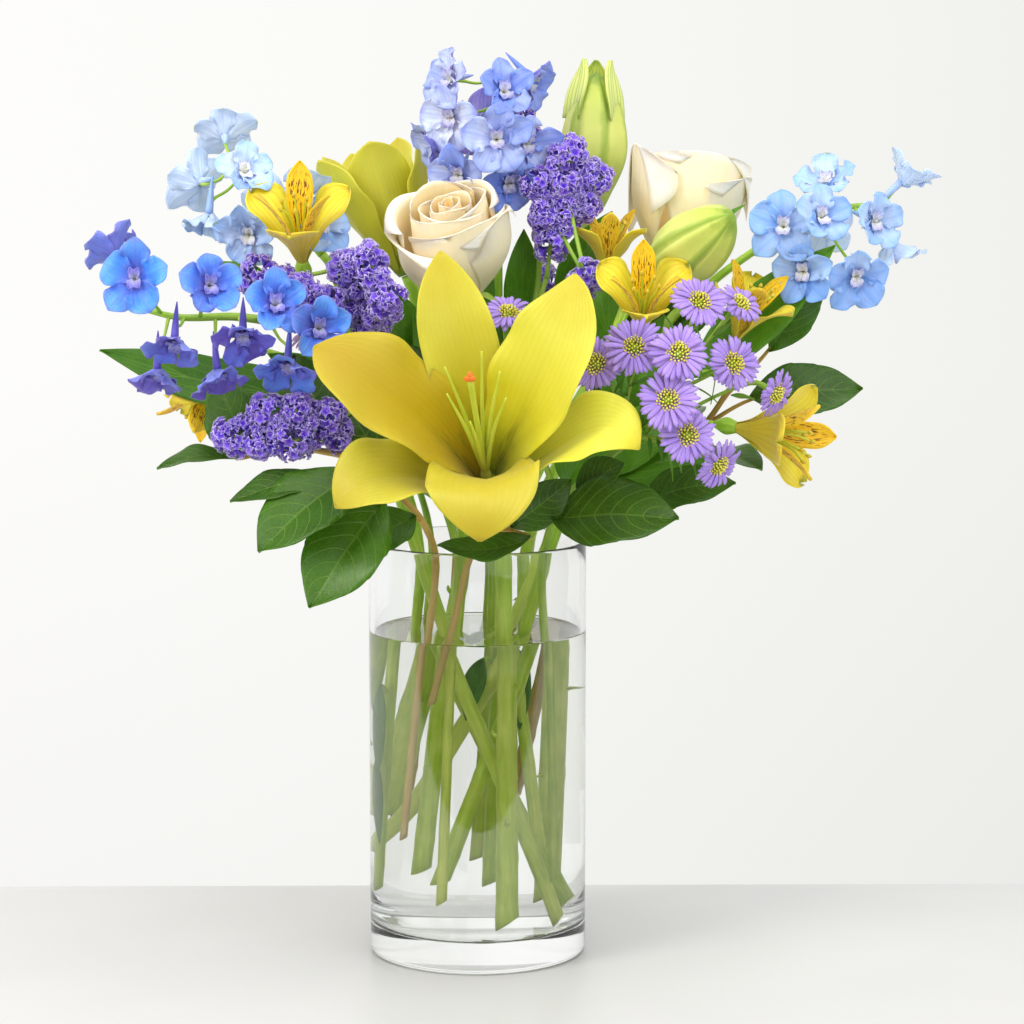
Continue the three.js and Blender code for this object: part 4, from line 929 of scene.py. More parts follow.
def stem(heap, name, ends=(), joints=34.0, swell=0.09, sides=14):
    """A cut stem with a joint every so many millimetres, each a little thicker than the stretch between."""
    line = stem_route(name, ends)
    phase = STEM_TONE[name] * joints
    near = np.abs((run_along(line) + phase) % joints - joints / 2)
    thick = STEMS[name][0] * np.linspace(1, 0.72, len(line)) * (1 + swell * np.exp(-((near / 2.6) ** 2)))
    stalk(heap, line, thick, sides, slant=0.7, tone=STEM_TONE[name], cut=True)
    return line


GOLDEN = 2.4  # the turn from one leaf or thorn to the next, in radians


def outward(way, turn, tilt):
    """A direction square to the way a stalk runs."""
    return unit(np.cross(way, (math.cos(turn), math.sin(turn), tilt)))


def up_stem(line, places, turn=0.0, tilt=0.3):
    """Places up a stem, turned round it step by step: each with the way the stem runs and the way out of it."""
    for k, at in enumerate(places):
        i = int(at * (len(line) - 1))
        way = unit(line[i + 1] - line[i])
        yield line[i], way, outward(way, GOLDEN * k + turn, tilt)


def scars(heap, line, radius, places):
    """The stubs of leaves that were stripped off the stem: small flat bumps."""
    for middle, way, out in up_stem(line, places, 0.8, 0.2):
        root = middle + out * radius * 0.5
        bud = [root, root + out * radius * 0.62 + way, root + out * radius * 0.75 + way * 3]
        stalk(heap, spline(bud, 6), np.linspace(1.7, 0.5, 6), 7, tone=0.3)


print("the front lily's stem:", round(run_along(stem_route("lily_front"))[-1]), "mm up to its last bend")

# %% [markdown]
# ## Lilies
#
# A lily flower has six tepals in two whorls: three wide inner ones and three narrower outer ones under the gaps.
# Each grows from the throat, arches out and rolls its tip back, with a groove along its middle and a slightly
# wavy edge. A plane bent with modifiers could give one tepal, but every tepal of the front lily has its own arch,
# so each midrib is a Bezier curve from the CAD model and the sheet is laid along it.


# %% Lily helpers
def seat(place, axis, back):
    """The last stretch of a stalk, which meets a bloom's base along its axis."""
    way = unit(axis)
    return [vec(place) - way * back, vec(place) - way * 0.2]


TEPAL = profile((0, 0.14), (0.2, 0.5), (0.4, 0.86), (0.58, 1), (0.76, 0.9), (0.88, 0.62), (0.96, 0.28), (1, 0.04))


def tepal(heap, line, half, side, cup, tone, age, stand=None):
    blade(
        heap, line, lambda t: half * TEPAL(t), side=side, cup=lambda t: half * cup * np.sin(np.pi * t**0.7),
        ruffle=half * 0.09, waves=3.2, groove=0.8, columns=19, thick=0.9, tone=tone, age=age, stand=stand,
    )


def thread(heap, points, radii, tone=0.5, age=0.0, sides=9, count=16, stand=None, share=None):
    """A thin stalk through points, with its radius given at even places along it."""
    at = np.linspace(0, 1, count)
    radius = np.interp(at, np.linspace(0, 1, len(radii)), radii)
    stalk(heap, spline(points, count), radius, sides, tone=tone, age=age, stand=stand, share=share)


def stigma(heap, place, axis, radius):
    """The three-lobed sticky tip of a lily's style."""
    top = Stand(place, axis)
    for azimuth in (90, 210, 330):
        lobe = around(azimuth, [(0.1, -0.6), (radius * 0.5, 0.4), (radius, 1.0), (radius * 1.25, 0.5)])
        thread(heap, lobe, (0.9, 1.4, 1.3, 0.5), tone=0.6, age=1.0, sides=10, count=9, stand=top)


print("a lily's tepal is widest at", widest(TEPAL), "of its length")

# %% The front lily
LILY_FRONT = Stand((5, -51, 227), (-0.12, -0.74, 0.66))
front_axis = LILY_FRONT.turn[2]
# two guide points, tip, half width, inner or outer whorl, how golden it is, and its shade. The shade is partly the
# tepal's own tone and partly painted light: the right-hand tepal, where most light falls, is painted lightest.
FRONT_TEPALS = [
    ((14, -78, 256), (38, -106, 290), (42.5, -95, 325), 23, 1, 0.1, 0.45),
    ((-14, -80, 254), (-46, -112, 282), (-70.5, -102, 294), 24, 1, 0.85, 0.35),
    ((5, -86, 238), (2, -126.5, 245), (1, -117, 211), 25, 1, 0.5, 0.1),
    ((3, -66, 264), (-12, -88, 300), (-16, -76, 334), 17, 0, 0.3, 0.3),
    ((30, -68, 238), (54, -104, 274), (70.5, -100, 249), 18, 0, 0.0, 1.0),
    ((-18, -74, 230), (-48, -108, 250), (-62, -96, 223), 19, 0, 0.35, 0.25),
]
FRONT_STAMENS = [
    (-14, -100, 285), (-13, -108, 274), (10, -100, 283), (12.5, -106, 272), (2, -104, 292), (-3, -108, 262),
]
FRONT_STYLE = (-3, -112, 281)

petals, threads = Heap(), Heap()
for first, second, tip, half, inner, gold, shade in FRONT_TEPALS:
    out = tip - LILY_FRONT.place
    out = unit(out - front_axis * (out @ front_axis))
    start = LILY_FRONT.place + front_axis * 2 + out * (4 if inner else 5.4)
    tepal(
        petals, bezier((start, first, second, tip), 34), half, np.cross(front_axis, out),
        0.3 if inner else 0.34, shade, lambda t, v: gold * (1.05 - 0.35 * v**2 * t),
    )
thread(petals, [(0, 0, 0), (0, 0, 2.5), (0, 0, 5)], (4.4, 5.8, 7.2), sides=18, stand=LILY_FRONT, share=(0, 0.1))
thread(threads, [(0, 0, 5.2), (0, 0, 10), (0, 0, 16)], (2.6, 2.4, 1.6), sides=12, stand=LILY_FRONT)
near = LILY_FRONT.put((0, 0, 10))
for tip in FRONT_STAMENS:
    middle = (near + tip) / 2 + front_axis * 6
    thread(threads, [near, middle, tip], (1.4, 1.1, 0.8, 0.4), tone=0.2 + 0.4 * chance.random())
middle = (near + FRONT_STYLE) / 2 + front_axis * 6
thread(threads, [near, middle, FRONT_STYLE], (1.8, 1.5, 1.3, 1.5), tone=0.3)
stigma(threads, FRONT_STYLE, FRONT_STYLE - middle, 2.0)
keep(form(petals, "lily_front_tepals"), LILY_YELLOW, ["lily_front_bloom"])
keep(form(threads, "lily_front_threads"), FILAMENT, ["lily_front_stamens"])

# %% The back lily
LILY_BACK = Stand((-33, 36, 318), (-0.34, 0.05, 0.94))
# azimuth, reach outward, height, half width and whorl
BACK_TEPALS = [
    (262, 20, 66, 16, 1), (322, 28, 64, 12, 0), (22, 21, 64, 16, 1),
    (82, 32, 60, 12, 0), (142, 24, 63, 16, 1), (202, 28, 64, 12, 0),
]
petals, threads = Heap(), Heap()
for azimuth, reach, high, half, inner in BACK_TEPALS:
    root, low, share = (4, 13, 0.75) if inner else (5.6, 19, 0.9)
    line = around(azimuth, bezier(((root, 2), (low, 24), (reach * share, high * 0.8), (reach, high)), 28))
    angle = math.radians(azimuth)
    side = (-math.sin(angle), math.cos(angle), 0)
    tepal(petals, line, half, side, 0.4, 0.2 + 0.6 * chance.random(), 0.1, LILY_BACK)
thread(petals, [(0, 0, 0), (0, 0, 2), (0, 0, 4)], (4.2, 5.2, 6), sides=18, stand=LILY_BACK, share=(0, 0.1))
thread(threads, [(0, 0, 4.2), (0, 0, 9), (0, 0, 16)], (2.4, 2.1, 1.6), sides=12, stand=LILY_BACK)
for k, (reach, high) in enumerate([(8, 52), (9, 50), (8, 54), (9, 51), (8, 53), (9, 50)]):
    line = around(60 * k, [(0, 9), (reach * 0.35, 26), (reach, high)])
    thread(threads, line, (1.0, 0.8, 0.5), tone=0.3 + 0.4 * chance.random(), stand=LILY_BACK)
thread(threads, [(0, 0, 12), (0.5, 0, 36), (0, 0, 59)], (1.4, 1.2, 1.2), tone=0.4, stand=LILY_BACK)
stigma(threads, LILY_BACK.put((0, 0, 59)), LILY_BACK.turn[2], 1.8)
keep(form(petals, "lily_back_tepals"), LILY_YELLOW, ["lily_back_bloom"])
keep(form(threads, "lily_back_threads"), FILAMENT, ["lily_back_stamens"])

# %% [markdown]
# A closed bud shows its six tepals edge to edge: three outer ones, each with a raised midrib, and between them the
# seams where the inner ones lie. That is a tapering stalk whose section is dented at the seams, so the stalk
# helper makes it. The taller bud is just opening, and its three tips stand apart.

# %% Lily buds
# base, tip, radius, and how far the three tips stand apart
LILY_BUDS = {
    "top": ((53, 46, 345), (57, 46, 419), 15.5, 6.0),
    "right": ((80, -2, 319), (114.5, -46, 349), 15.5, 0.0),
}
BUD = profile((0, 0.26), (0.05, 0.42), (0.18, 0.66), (0.42, 1), (0.66, 0.92), (0.84, 0.64), (0.95, 0.32), (1, 0.08))
LIP = profile((0, 0.9), (0.4, 1), (0.75, 0.66), (1, 0.12))


def bud_section(t, angle):
    ribs = 0.07 * np.cos(3 * angle) + 0.05 * np.cos(6 * angle)
    seams = 0.13 * np.exp(-((np.sin(1.5 * angle) / 0.14) ** 2)) + 0.1 * np.exp(-((np.cos(1.5 * angle) / 0.1) ** 2))
    return 1 + (ribs - seams) * min(1, 4 * t)


for name, (base, tip, radius, lips) in LILY_BUDS.items():
    heap = Heap()
    length = np.linalg.norm(vec(tip) - base)
    stand = Stand(base, vec(tip) - base)
    t = np.linspace(0, 1, 40)
    spine = np.stack([0 * t, 0 * t, t * (length - lips)], 1)
    stalk(heap, spine, radius * BUD(t), 72, tone=0.5, stand=stand, shape=bud_section, share=(0.02, 1))
    for k in range(3 if lips else 0):
        petal(
            heap, stand, 90 + 120 * k,
            [(radius * out, length * up) for out, up in ((0.74, 0.62), (0.72, 0.8), (0.5, 0.9), (0.52, 1))],
            8, LIP, rows=18, cup=lambda t: -1.5 + 3.2 * t, groove=-0.5, thick=1.0, tone=0.4 + 0.1 * k, age=0.15,
        )
    keep(form(heap, f"lily_{name}_bud"), BUD_GREEN, [f"lily_bud_{name}"])

# %% Lily stems
for name, bloom, bud, back, branch in (
    ("lily_front", LILY_FRONT, "right", 12, [(12, -27, 198), (36, -38, 248), (60, -22, 288)]),
    ("lily_back", LILY_BACK, "top", 8, [(-9, 27, 232), (14, 38, 275), (42, 45, 312)]),
):
    heap = Heap()
    line = stem(heap, name, seat(bloom.place, bloom.turn[2], 10), joints=27, swell=0.07, sides=20)
    scars(heap, line, STEMS[name][0], (0.12, 0.22, 0.31, 0.42, 0.52, 0.6))
    base, tip = LILY_BUDS[bud][:2]
    side_stalk = [*branch, *seat(base, vec(tip) - base, back)]
    thread(heap, side_stalk, (2.6, 2.2, 2.1, 2.2, 3.2), sides=12, count=40, tone=0.6)
    keep(form(heap, f"{name}_stalk"), GREEN_STEM, [f"{name}_stem"])

# %% [markdown]
# ## Roses
#
# A rose's petals follow each other at 137.5 degrees, the golden angle, from a tight cone in the middle to wide
# cups outside. Each is bent round the flower's axis, with one edge tucked under its neighbour, and the older a
# petal is, the further its rim rolls back. The older way is a bent plane copied with an array, which repeats the
# same petal. Here the spiral, belly, height and roll of the heart's petals are worked out from their age, and the
# outer petals, which give each rose its own outline, are listed one by one.

# %% One rose petal
ROSE_WIDTH = profile((0, 0.4), (0.3, 0.8), (0.6, 1), (0.85, 0.96), (1, 0.66))


def rose_petal(heap, stand, azimuth, belly, high, spread, roll, curl, flare, point, age, skew=0.0):
    """A petal bent round the axis: belly is its radius, spread half its angle, roll how far its rim turns back
    over a curl of some radius, flare how far it leans out, point how much its peak stands above its sides, and
    skew how far the peak stands to one side."""
    low, top, wide = 15, 11, 25  # rows up to the crest, rows of the rim that rolls back, and points across
    roll = math.radians(roll)
    crest = high - curl * math.sin(min(roll, math.pi / 2))
    z = np.linspace(1.5, crest, low)
    lean = 1 - 0.2 * max(0, 1 - belly / 24) * (z / high) ** 2
    r = belly * lean * mix(0.3, 1, np.sin(np.pi / 2 * np.minimum(1, z / high * 1.5))) + flare * (z / high) ** 2
    bend = np.linspace(0, 1, top + 1)[1:, None]
    v = np.linspace(-1, 1, wide)[None, :]
    phase = 6.28 * chance.random()
    turn = roll * bend * (0.7 + 0.42 * v**2 + 0.12 * np.sin(2.2 * v + phase))
    radius = np.vstack([np.tile(r[:, None], (1, wide)), r[-1] + curl * (1 - np.cos(turn))])
    rise = np.vstack([np.tile(z[:, None], (1, wide)), z[-1] + curl * np.sin(turn)])
    t = np.linspace(0, 1, low + top)[:, None]
    radius = radius + belly * 0.07 * v * np.minimum(1, 2 * t)  # one edge tucks under the next petal
    radius = radius + (0.25 + flare * 0.1) * np.sin(3.2 * v + phase) * t**2
    rise = rise - high * point * np.abs((v - skew) / (1 + abs(skew))) ** 1.9 * t**2
    rise = rise + 0.5 * np.sin(2.6 * v + phase) * t**3
    angle = math.radians(azimuth) + v * math.radians(spread) * ROSE_WIDTH(t)
    middle = np.stack([radius * np.cos(angle), radius * np.sin(angle), rise + 0 * v], -1)
    sheet(heap, stand.put(middle), 0.55, 0.3 + 0.4 * chance.random(), age)


print("a rose's petal is widest at", widest(ROSE_WIDTH), "of its length")

# %% The two roses
# Each row is a petal: azimuth, belly, height, spread, roll, curl, flare, point, age and perhaps skew. Age sets how
# much of the warm tint a petal takes, which is partly painted shade in the heart.
# The left one is half open and leans to the viewer, so its front petals stand lower than the back ones.
PETAL_TURN = 137.5  # degrees from each petal of a heart to the next
left_petals = [
    (100 + PETAL_TURN * k, mix(3.0, 14.0, k / 6), mix(49, 48, k / 6), mix(118, 84, (k / 6) ** 0.5),
     mix(5, 20, k / 6) * (0.8 + 0.4 * chance.random()), 7, 0.0, 0.08, 0.8 * (1 - k / 6)) for k in range(7)
] + [
    (130, 17.5, 52, 78, 24, 6, -1, 0.1, 0.2), (10, 19.0, 51, 72, 30, 6, -1, 0.14, 0.1),
    (262, 20.0, 48, 82, 14, 6, -1, 0.12, 0.2, 0.2), (62, 21.5, 51, 60, 60, 5, 0, 0.16, 0.1),
    (170, 23.5, 47, 62, 100, 4.2, 0, 0.12, 0.0), (305, 24.0, 45, 74, 18, 6, 0, 0.24, 0.1, 0.35),
    (352, 25.5, 44, 52, 55, 4.5, 0, 0.24, 0.0), (228, 26.5, 38, 60, 110, 3.8, 0, 0.16, 0.0, -0.3),
]
# The right one is older: a loose heart, then big petals that flare to points.
right_petals = [
    (90 + PETAL_TURN * k, 4.5 + 2.4 * k, 36 - 0.4 * k, 110 - 7 * k, 8, 7, 0.0, 0.12, 0.9 - 0.1 * k) for k in range(6)
] + [
    (95, 20, 43, 70, 18, 6, 2, 0.2, 0.3), (20, 23, 50, 66, 35, 5, 6, 0.2, 0.0),
    (345, 25, 49, 58, 24, 5, 6, 0.22, 0.0), (196, 24, 58, 62, 8, 6, 4, 0.8, 0.0, 0.1),
    (308, 25.5, 59, 76, 10, 6, 4, 0.55, 0.0, -0.35),
]
ROSES = {
    "left": ((-6, -4, 311), (-0.16, -0.42, 0.9), 1.0, left_petals),
    "right": ((93, 24, 321), (0.12, 0, 0.99), 0.97, right_petals),
}
ROSE_SEPAL = profile((0, 0.9), (0.2, 1), (0.6, 0.55), (1, 0.05))
for name, (base, axis, size, petals) in ROSES.items():
    heap = Heap()
    stand = Stand(base, axis, 0, size)
    for row in petals:
        rose_petal(heap, stand, *row)
    thread(heap, [(0, 0, 1), (0, 0, 20), (0, 0, 44)], (4, 8, 2.4), tone=0.4, age=0.9, sides=16, stand=stand,
           share=(0.1, 0.6))
    keep(form(heap, f"rose_{name}_petals"), ROSE_CREAM, [f"rose_{name}_bloom"])

    heap = Heap()
    hip = Stand(base, axis)
    line = stem(heap, "rose_" + name, [hip.put((0, 0, -16)), hip.put((0, 0, -6))], joints=60, swell=0.05)
    thread(heap, [(0, 0, -9), (0, 0, -5), (0, 0, -0.2)], (2.8, 4.6, 3.8), tone=0.5, sides=16, stand=hip)
    for k in range(5):
        petal(
            heap, hip, 90 + 72 * k, [(2.6, -1.4), (9, 0.2), (15, -5), (19, -13)], 3.1, ROSE_SEPAL, rows=18,
            cup=lambda t: 0.8 - 1.2 * t, ruffle=0.3, columns=7, thick=0.6, tone=0.4 + 0.1 * k,
        )
    for middle, way, out in up_stem(line, (0.1, 0.2, 0.32, 0.45, 0.56, 0.68)):
        root = middle + out * STEMS["rose_" + name][0] * 0.6
        thorn = spline([root, root + out * 2 + way * 0.4, root + out * 4.4 - way * 0.8], 6)
        stalk(heap, thorn, np.linspace(1.3, 0.1, 6) ** 1.2, 7, tone=0.1)
    keep(form(heap, f"rose_{name}_stalk"), GREEN_STEM, [f"rose_{name}_stem"])

# %% [markdown]
# ## Delphiniums
#
# A delphinium's stalk carries loose florets on thin side stalks. What look like petals are five rounded sepals,
# the upper one drawn out behind into a spur, and the true petals are the small pale tuft in the middle, called the
# bee. Instances of a single floret would be quick, but these florets open by different amounts, which changes
# their shape, so each is grown from how far it is open.

# %% One delphinium floret
BEE_WHITE = petal_skin(
    "delphinium_bee_skin",
    [(0.0, "#c9c27a"), (0.3, "#f0edd8"), (0.8, "#f7f6f0"), (1.0, "#dcd9e8")],
    age_and_shade_tint="#6f6ccc", under="#e9e6d8", vein="#b9b4cc", veins=3, vein_share=0.2, mottle_mm=2,
)
SEPAL = profile((0, 0.18), (0.22, 0.46), (0.5, 0.92), (0.68, 1), (0.84, 0.72), (0.94, 0.34), (1, 0.05))


def floret(sepals, bees, stalks, place, axis, opening, root, blush, hood):
    """opening is 0 for a bud and 1 for a flat face; root is where its side stalk leaves the rachis; blush is 0
    when it is new and 1 when its colour has turned; hood is how much of the sepals' blue its small inner petals
    carry."""
    stand = Stand(place, axis, sway(8))
    reach, rise = mix(9.5, 17.2, opening), mix(13, 4.2, opening)
    for k in range(5):
        stretch = 1 + sway(0.24)
        lift = rise * (1 + sway(0.7)) + sway(2.4)
        fall = 5 * (chance.random() - 0.6)  # some tips curl in and some fall back
        midrib = [
            (0.8, -0.4), (reach * 0.3, rise * 0.05), (reach * 0.7, lift * 0.8 + 1.5),
            (reach * stretch, lift + fall),
        ]
        tint = blush + sway(0.5)
        crease = between(0.8, 4.2)
        petal(
            sepals, stand, 90 + 72 * k + sway(18), midrib, reach * (0.48 if k % 2 else 0.4), SEPAL, rows=18,
            cup=lambda t: crease * np.sin(np.pi * t), ruffle=2.0, waves=1.8 + 1.6 * chance.random(),
            groove=-0.6, columns=13, thick=0.45, tone=0.1 + 0.8 * chance.random(),
            age=lambda t, v: tint + 0.4 * (1 - t) ** 2 + 0.4 * v**4 * t + 0.3 * np.exp(-((v / 0.12) ** 2)) * t,
        )
    for azimuth, long, half in ((66, 6.6, 1.9), (114, 6.6, 1.9), (240, 6.0, 2.4), (300, 6.0, 2.4), (90, 4.4, 1.2)):
        midrib = [(0.4, -0.3), (0.8, 2.4), (1.8, 4.2), (long * 0.8, long * 0.62)]
        petal(
            bees, stand, azimuth + sway(12), midrib, half, SEPAL, rows=9, columns=7, thick=0.35, ruffle=0.9,
            waves=2.4, tone=chance.random(), cup=lambda t: 0.7 * t, age=lambda t, v: hood + t - 0.6,
        )
    spur = 16 if opening < 0.8 else 10
    thread(sepals, [(0, 1.5, 0.4), (0, 3.8, -spur * 0.4), (0, 7, -spur)], (1.9, 1.6, 1.1, 0.25), tone=0.3,
           age=min(1, blush + 0.3), sides=8, count=9, stand=stand, share=(0.1, 0.9))
    under, joint = stand.put([(0, 2.4, -5.5), (0, 1.2, -0.3)])
    thread(stalks, [root, mix(root, under, 0.5) - (0, 0, 1.5), under, joint], (1.0, 0.7, 0.7, 1.3),
           tone=0.3 + 0.5 * chance.random(), sides=7, count=14)


print("a delphinium's sepal is widest at", widest(SEPAL), "of its length")

# %% The four delphiniums
# rachis; then each floret's place, facing, how far it is open, and where on the rachis its stalk starts
DELPHINIUMS = {
    "left": ([(-84, -38, 299), (-108, -42, 303), (-134, -44, 303), (-152, -42, 307)], [
        ((-151, -64, 321), (-0.15, -0.97, 0.15), 1, 0.85),
        ((-119, -64, 318), (0.4, -0.88, 0.2), 0.75, 0.6),
        ((-90, -62, 309), (0.3, -0.85, 0.4), 0.8, 0.25),
        ((-162, -42, 331), (-0.6, 0.4, 0.7), 0.7, 1),
        ((-143, -50, 280), (-0.1, -0.35, -0.93), 0.55, 0.8),
        ((-117, -56, 280), (0.3, -0.4, -0.87), 0.55, 0.5),
        ((-84, -60, 284), (-0.1, -0.6, -0.75), 0.7, 0.15),
        ((-71, -62, 299), (0.35, -0.9, 0.1), 0.75, 0.02),
        ((-104, -60, 297), (0.0, -0.75, -0.6), 0.6, 0.35),
        ((-134, -62, 294), (-0.1, -0.6, -0.75), 0.55, 0.7),
    ]),
    "upper_left": ([(-72, 6, 329), (-88, 5, 349), (-102, 3, 364), (-113, 3, 369)], [
        ((-128, 4, 361), (-0.55, 0.75, 0.3), 0.85, 1),
        ((-117, 12, 382), (-0.1, 0.72, 0.68), 0.85, 0.95),
        ((-122, -6, 348), (-0.3, -0.3, -0.9), 0.5, 0.9),
        ((-98, 18, 350), (0.2, 0.9, 0.1), 0.8, 0.5),
        ((-80, 12, 357), (0.35, 0.35, 0.86), 0.7, 0.3),
        ((-104, -12, 339), (-0.2, -0.9, -0.2), 0.7, 0.4),
        ((-107, -8, 366), (0.3, -0.75, 0.55), 0.6, 0.75),
        ((-72, -10, 342), (0.3, -0.8, 0.3), 0.75, 0.2),
    ]),
    "top": ([(10, 20, 330), (10, 18, 362), (9, 19, 396), (7, 20, 414)], [
        ((-11, 8, 408.5), (-0.75, -0.55, 0.35), 0.8, 0.95),
        ((-11, 2, 392), (-0.5, -0.85, -0.1), 0.85, 0.8),
        ((24, 14, 409), (0.8, -0.35, -0.4), 0.6, 0.9),
        ((9, -9, 382), (0.05, -0.98, 0), 1, 0.6),
        ((-17, 10, 380), (-0.85, -0.2, -0.3), 0.65, 0.55),
        ((2, 39, 388), (-0.1, 0.95, 0.1), 0.9, 0.65),
        ((12, 2, 403), (0.3, -0.85, 0.35), 0.6, 0.85),
        ((22, 2, 380), (0.55, -0.8, -0.1), 0.65, 0.5),
        ((-8, 0, 366), (-0.3, -0.9, -0.2), 0.7, 0.35),
        ((14, 4, 362), (0.3, -0.9, -0.2), 0.6, 0.3),
    ]),
    "right": ([(96, 14, 303), (118, 12, 322), (146, 10, 340), (170, 8, 350), (186, 6, 352)], [
        ((141, -12, 342), (-0.2, -0.95, 0.2), 1, 0.5),
        ((162, 6, 361), (-0.15, -0.5, 0.85), 0.85, 0.65),
        ((197.5, 5, 361), (0.5, 0.15, 0.85), 0.5, 1),
        ((192, 4, 334), (0.4, 0.1, -0.9), 0.6, 0.95),
        ((174, -12, 320), (0.15, -0.93, -0.3), 0.9, 0.75),
        ((164, 28, 340), (0.1, 0.95, 0.2), 0.85, 0.7),
        ((150, -16, 322), (-0.3, -0.9, -0.1), 0.7, 0.5),
        ((182, -6, 344), (0.5, -0.75, 0.1), 0.6, 0.9),
        ((157, -16, 346), (0.3, -0.85, 0.4), 0.7, 0.6),
    ]),
}
# each stem's pigment, slot, how blue its inner petals are, and how far each floret's colour has turned
DELPHINIUM_LOOK = {
    "left": (DELPHINIUM_BLUE, "delphinium_blue", 0.8, (0.0, 0.1, 0.1, 0.5, 0.9, 0.8, 0.5, 0.3, 0.9, 0.7)),
    "upper_left": (DELPHINIUM_PALE, "delphinium_pale", 0.0, (0.0, 0.0, 0.3, 0.2, 0.1, 0.1, 0.2, 0.4)),
    "top": (DELPHINIUM_LILAC, "delphinium_pale", 0.45, (0.2, 0.0, 0.8, 0.4, 0.3, 0.2, 0.6, 0.5, 0.5, 0.7)),
    "right": (DELPHINIUM_PALE, "delphinium_pale", 0.3, (0.5, 0.3, 0.2, 0.3, 0.5, 0.2, 0.6, 0.3, 0.4)),
}
for name, (rachis, florets) in DELPHINIUMS.items():
    sepals, bees, stalks = Heap(), Heap(), Heap()
    pigment, slot, hood, blushes = DELPHINIUM_LOOK[name]
    spine = spline(rachis, 120)
    for (place, axis, opening, at), blush in zip(florets, blushes):
        floret(sepals, bees, stalks, place, axis, opening, spine[int(at * 119)], blush, hood)
    thread(stalks, rachis, (2.2, 1.9, 1.6, 1.2), tone=0.5, sides=10, count=40)
    way = unit(vec(rachis[1]) - rachis[0])
    stem(stalks, "delphinium_" + name, [rachis[0] - way * 6, rachis[0] + way * 0.5], joints=48, swell=0.06)
    nodes = [f"delphinium_{name}_florets"]
    keep(form(sepals, f"delphinium_{name}_sepals"), pigment, nodes)
    keep(form(bees, f"delphinium_{name}_bees"), BEE_WHITE, nodes)
    keep(form(stalks, f"delphinium_{name}_stalks"), GREEN_STEM, [f"delphinium_{name}_stem", *nodes])

# %% [markdown]
# ## Small forms, many times over
#
# A statice head is a knot of papery cups, all alike, and the disc of an aster is a dome of tiny florets. Growing
# each one in Python would work, but Geometry Nodes does it better: one cup is made once, and a node tree sets it
# on every point, turned to the way the point looks, with its own spin, size and shade. The result is made real at
# the end, so that what is left is an ordinary mesh.


# %% The node tree that sets a form on points
def scatter_tree():
    tree = bpy.data.node_groups.new("set_on_points", "GeometryNodeTree")
    for name, kind in (
        ("Points", "NodeSocketGeometry"), ("Small form", "NodeSocketObject"), ("Material", "NodeSocketMaterial"),
        ("Spin", "NodeSocketFloat"), ("Seed", "NodeSocketInt"),
    ):
        tree.interface.new_socket(name, in_out="INPUT", socket_type=kind)
    tree.interface.new_socket("Geometry", in_out="OUTPUT", socket_type="NodeSocketGeometry")
    given = node(tree, "NodeGroupInput").outputs
    aim = node(tree, "GeometryNodeInputNamedAttribute", {"Name": "aim"}, data_type="FLOAT_VECTOR")
    size = node(tree, "GeometryNodeInputNamedAttribute", {"Name": "size"}, data_type="FLOAT")
    facing = node(tree, "FunctionNodeAlignRotationToVector", {"Vector": aim}, axis="Z")
    spin, shade = (
        node(
            tree, "FunctionNodeRandomValue", {2: 0.0, 3: most, "Seed": given["Seed"]}, data_type="FLOAT"
        ).outputs[1]
        for most in (given["Spin"], 1.0)
    )
    turn = node(tree, "ShaderNodeCombineXYZ", {"Z": spin})
    turn = node(tree, "FunctionNodeEulerToRotation", {"Euler": turn})
    both = node(
        tree, "FunctionNodeRotateRotation", {"Rotation": facing, "Rotate By": turn}, rotation_space="LOCAL"
    )
    form_of = node(tree, "GeometryNodeObjectInfo", {"Object": given["Small form"]}).outputs["Geometry"]
    placed = node(
        tree, "GeometryNodeInstanceOnPoints",
        {"Points": given["Points"], "Instance": form_of, "Rotation": both, "Scale": size},
    )
    toned = node(
        tree, "GeometryNodeStoreNamedAttribute", {"Geometry": placed, "Name": "tone", "Value": shade},
        data_type="FLOAT", domain="INSTANCE",
    )
    real = node(tree, "GeometryNodeRealizeInstances", {"Geometry": toned})
    painted = node(tree, "GeometryNodeSetMaterial", {"Geometry": real, "Material": given["Material"]})
    node(tree, "NodeGroupOutput", {"Geometry": painted})
    return tree


SET_ON_POINTS = scatter_tree()
print("nodes in the tree:", len(SET_ON_POINTS.nodes))


# %% Setting a form on points
def scatter(name, small, places, aims, sizes, material, seed):
    """Sets a small form on points in millimetres, and makes the result an ordinary mesh object. seed fixes the
    spins and shades of its copies."""
    mesh = bpy.data.meshes.new(name)
    mesh.from_pydata((np.array(places) * MM).tolist(), [], [])
    mesh.attributes.new("aim", "FLOAT_VECTOR", "POINT").data.foreach_set("vector", np.array(aims).ravel())
    mesh.attributes.new("size", "FLOAT", "POINT").data.foreach_set("value", np.array(sizes, float))
    made = add(name, mesh)
    modifier = made.modifiers.new("set_on_points", "NODES")
    modifier.node_group = SET_ON_POINTS
    values = {"Small form": small, "Material": material, "Spin": 2 * math.pi, "Seed": seed}
    for item in SET_ON_POINTS.interface.items_tree:
        if item.in_out == "INPUT" and item.name in values:
            modifier[item.identifier] = values[item.name]
    ready = made.evaluated_get(bpy.context.evaluated_depsgraph_get())
    real = bpy.data.meshes.new_from_object(ready)
    made.modifiers.clear()
    made.data = real
    real.name = name
    return made


def small_form(heap, name):
    """A form to set on points. Its tone is left out, because each copy gets one of its own."""
    made = form(heap, name)
    made.data.attributes.remove(made.data.attributes["tone"])
    print(f"faces in one {name}:", len(made.data.polygons))
    return made


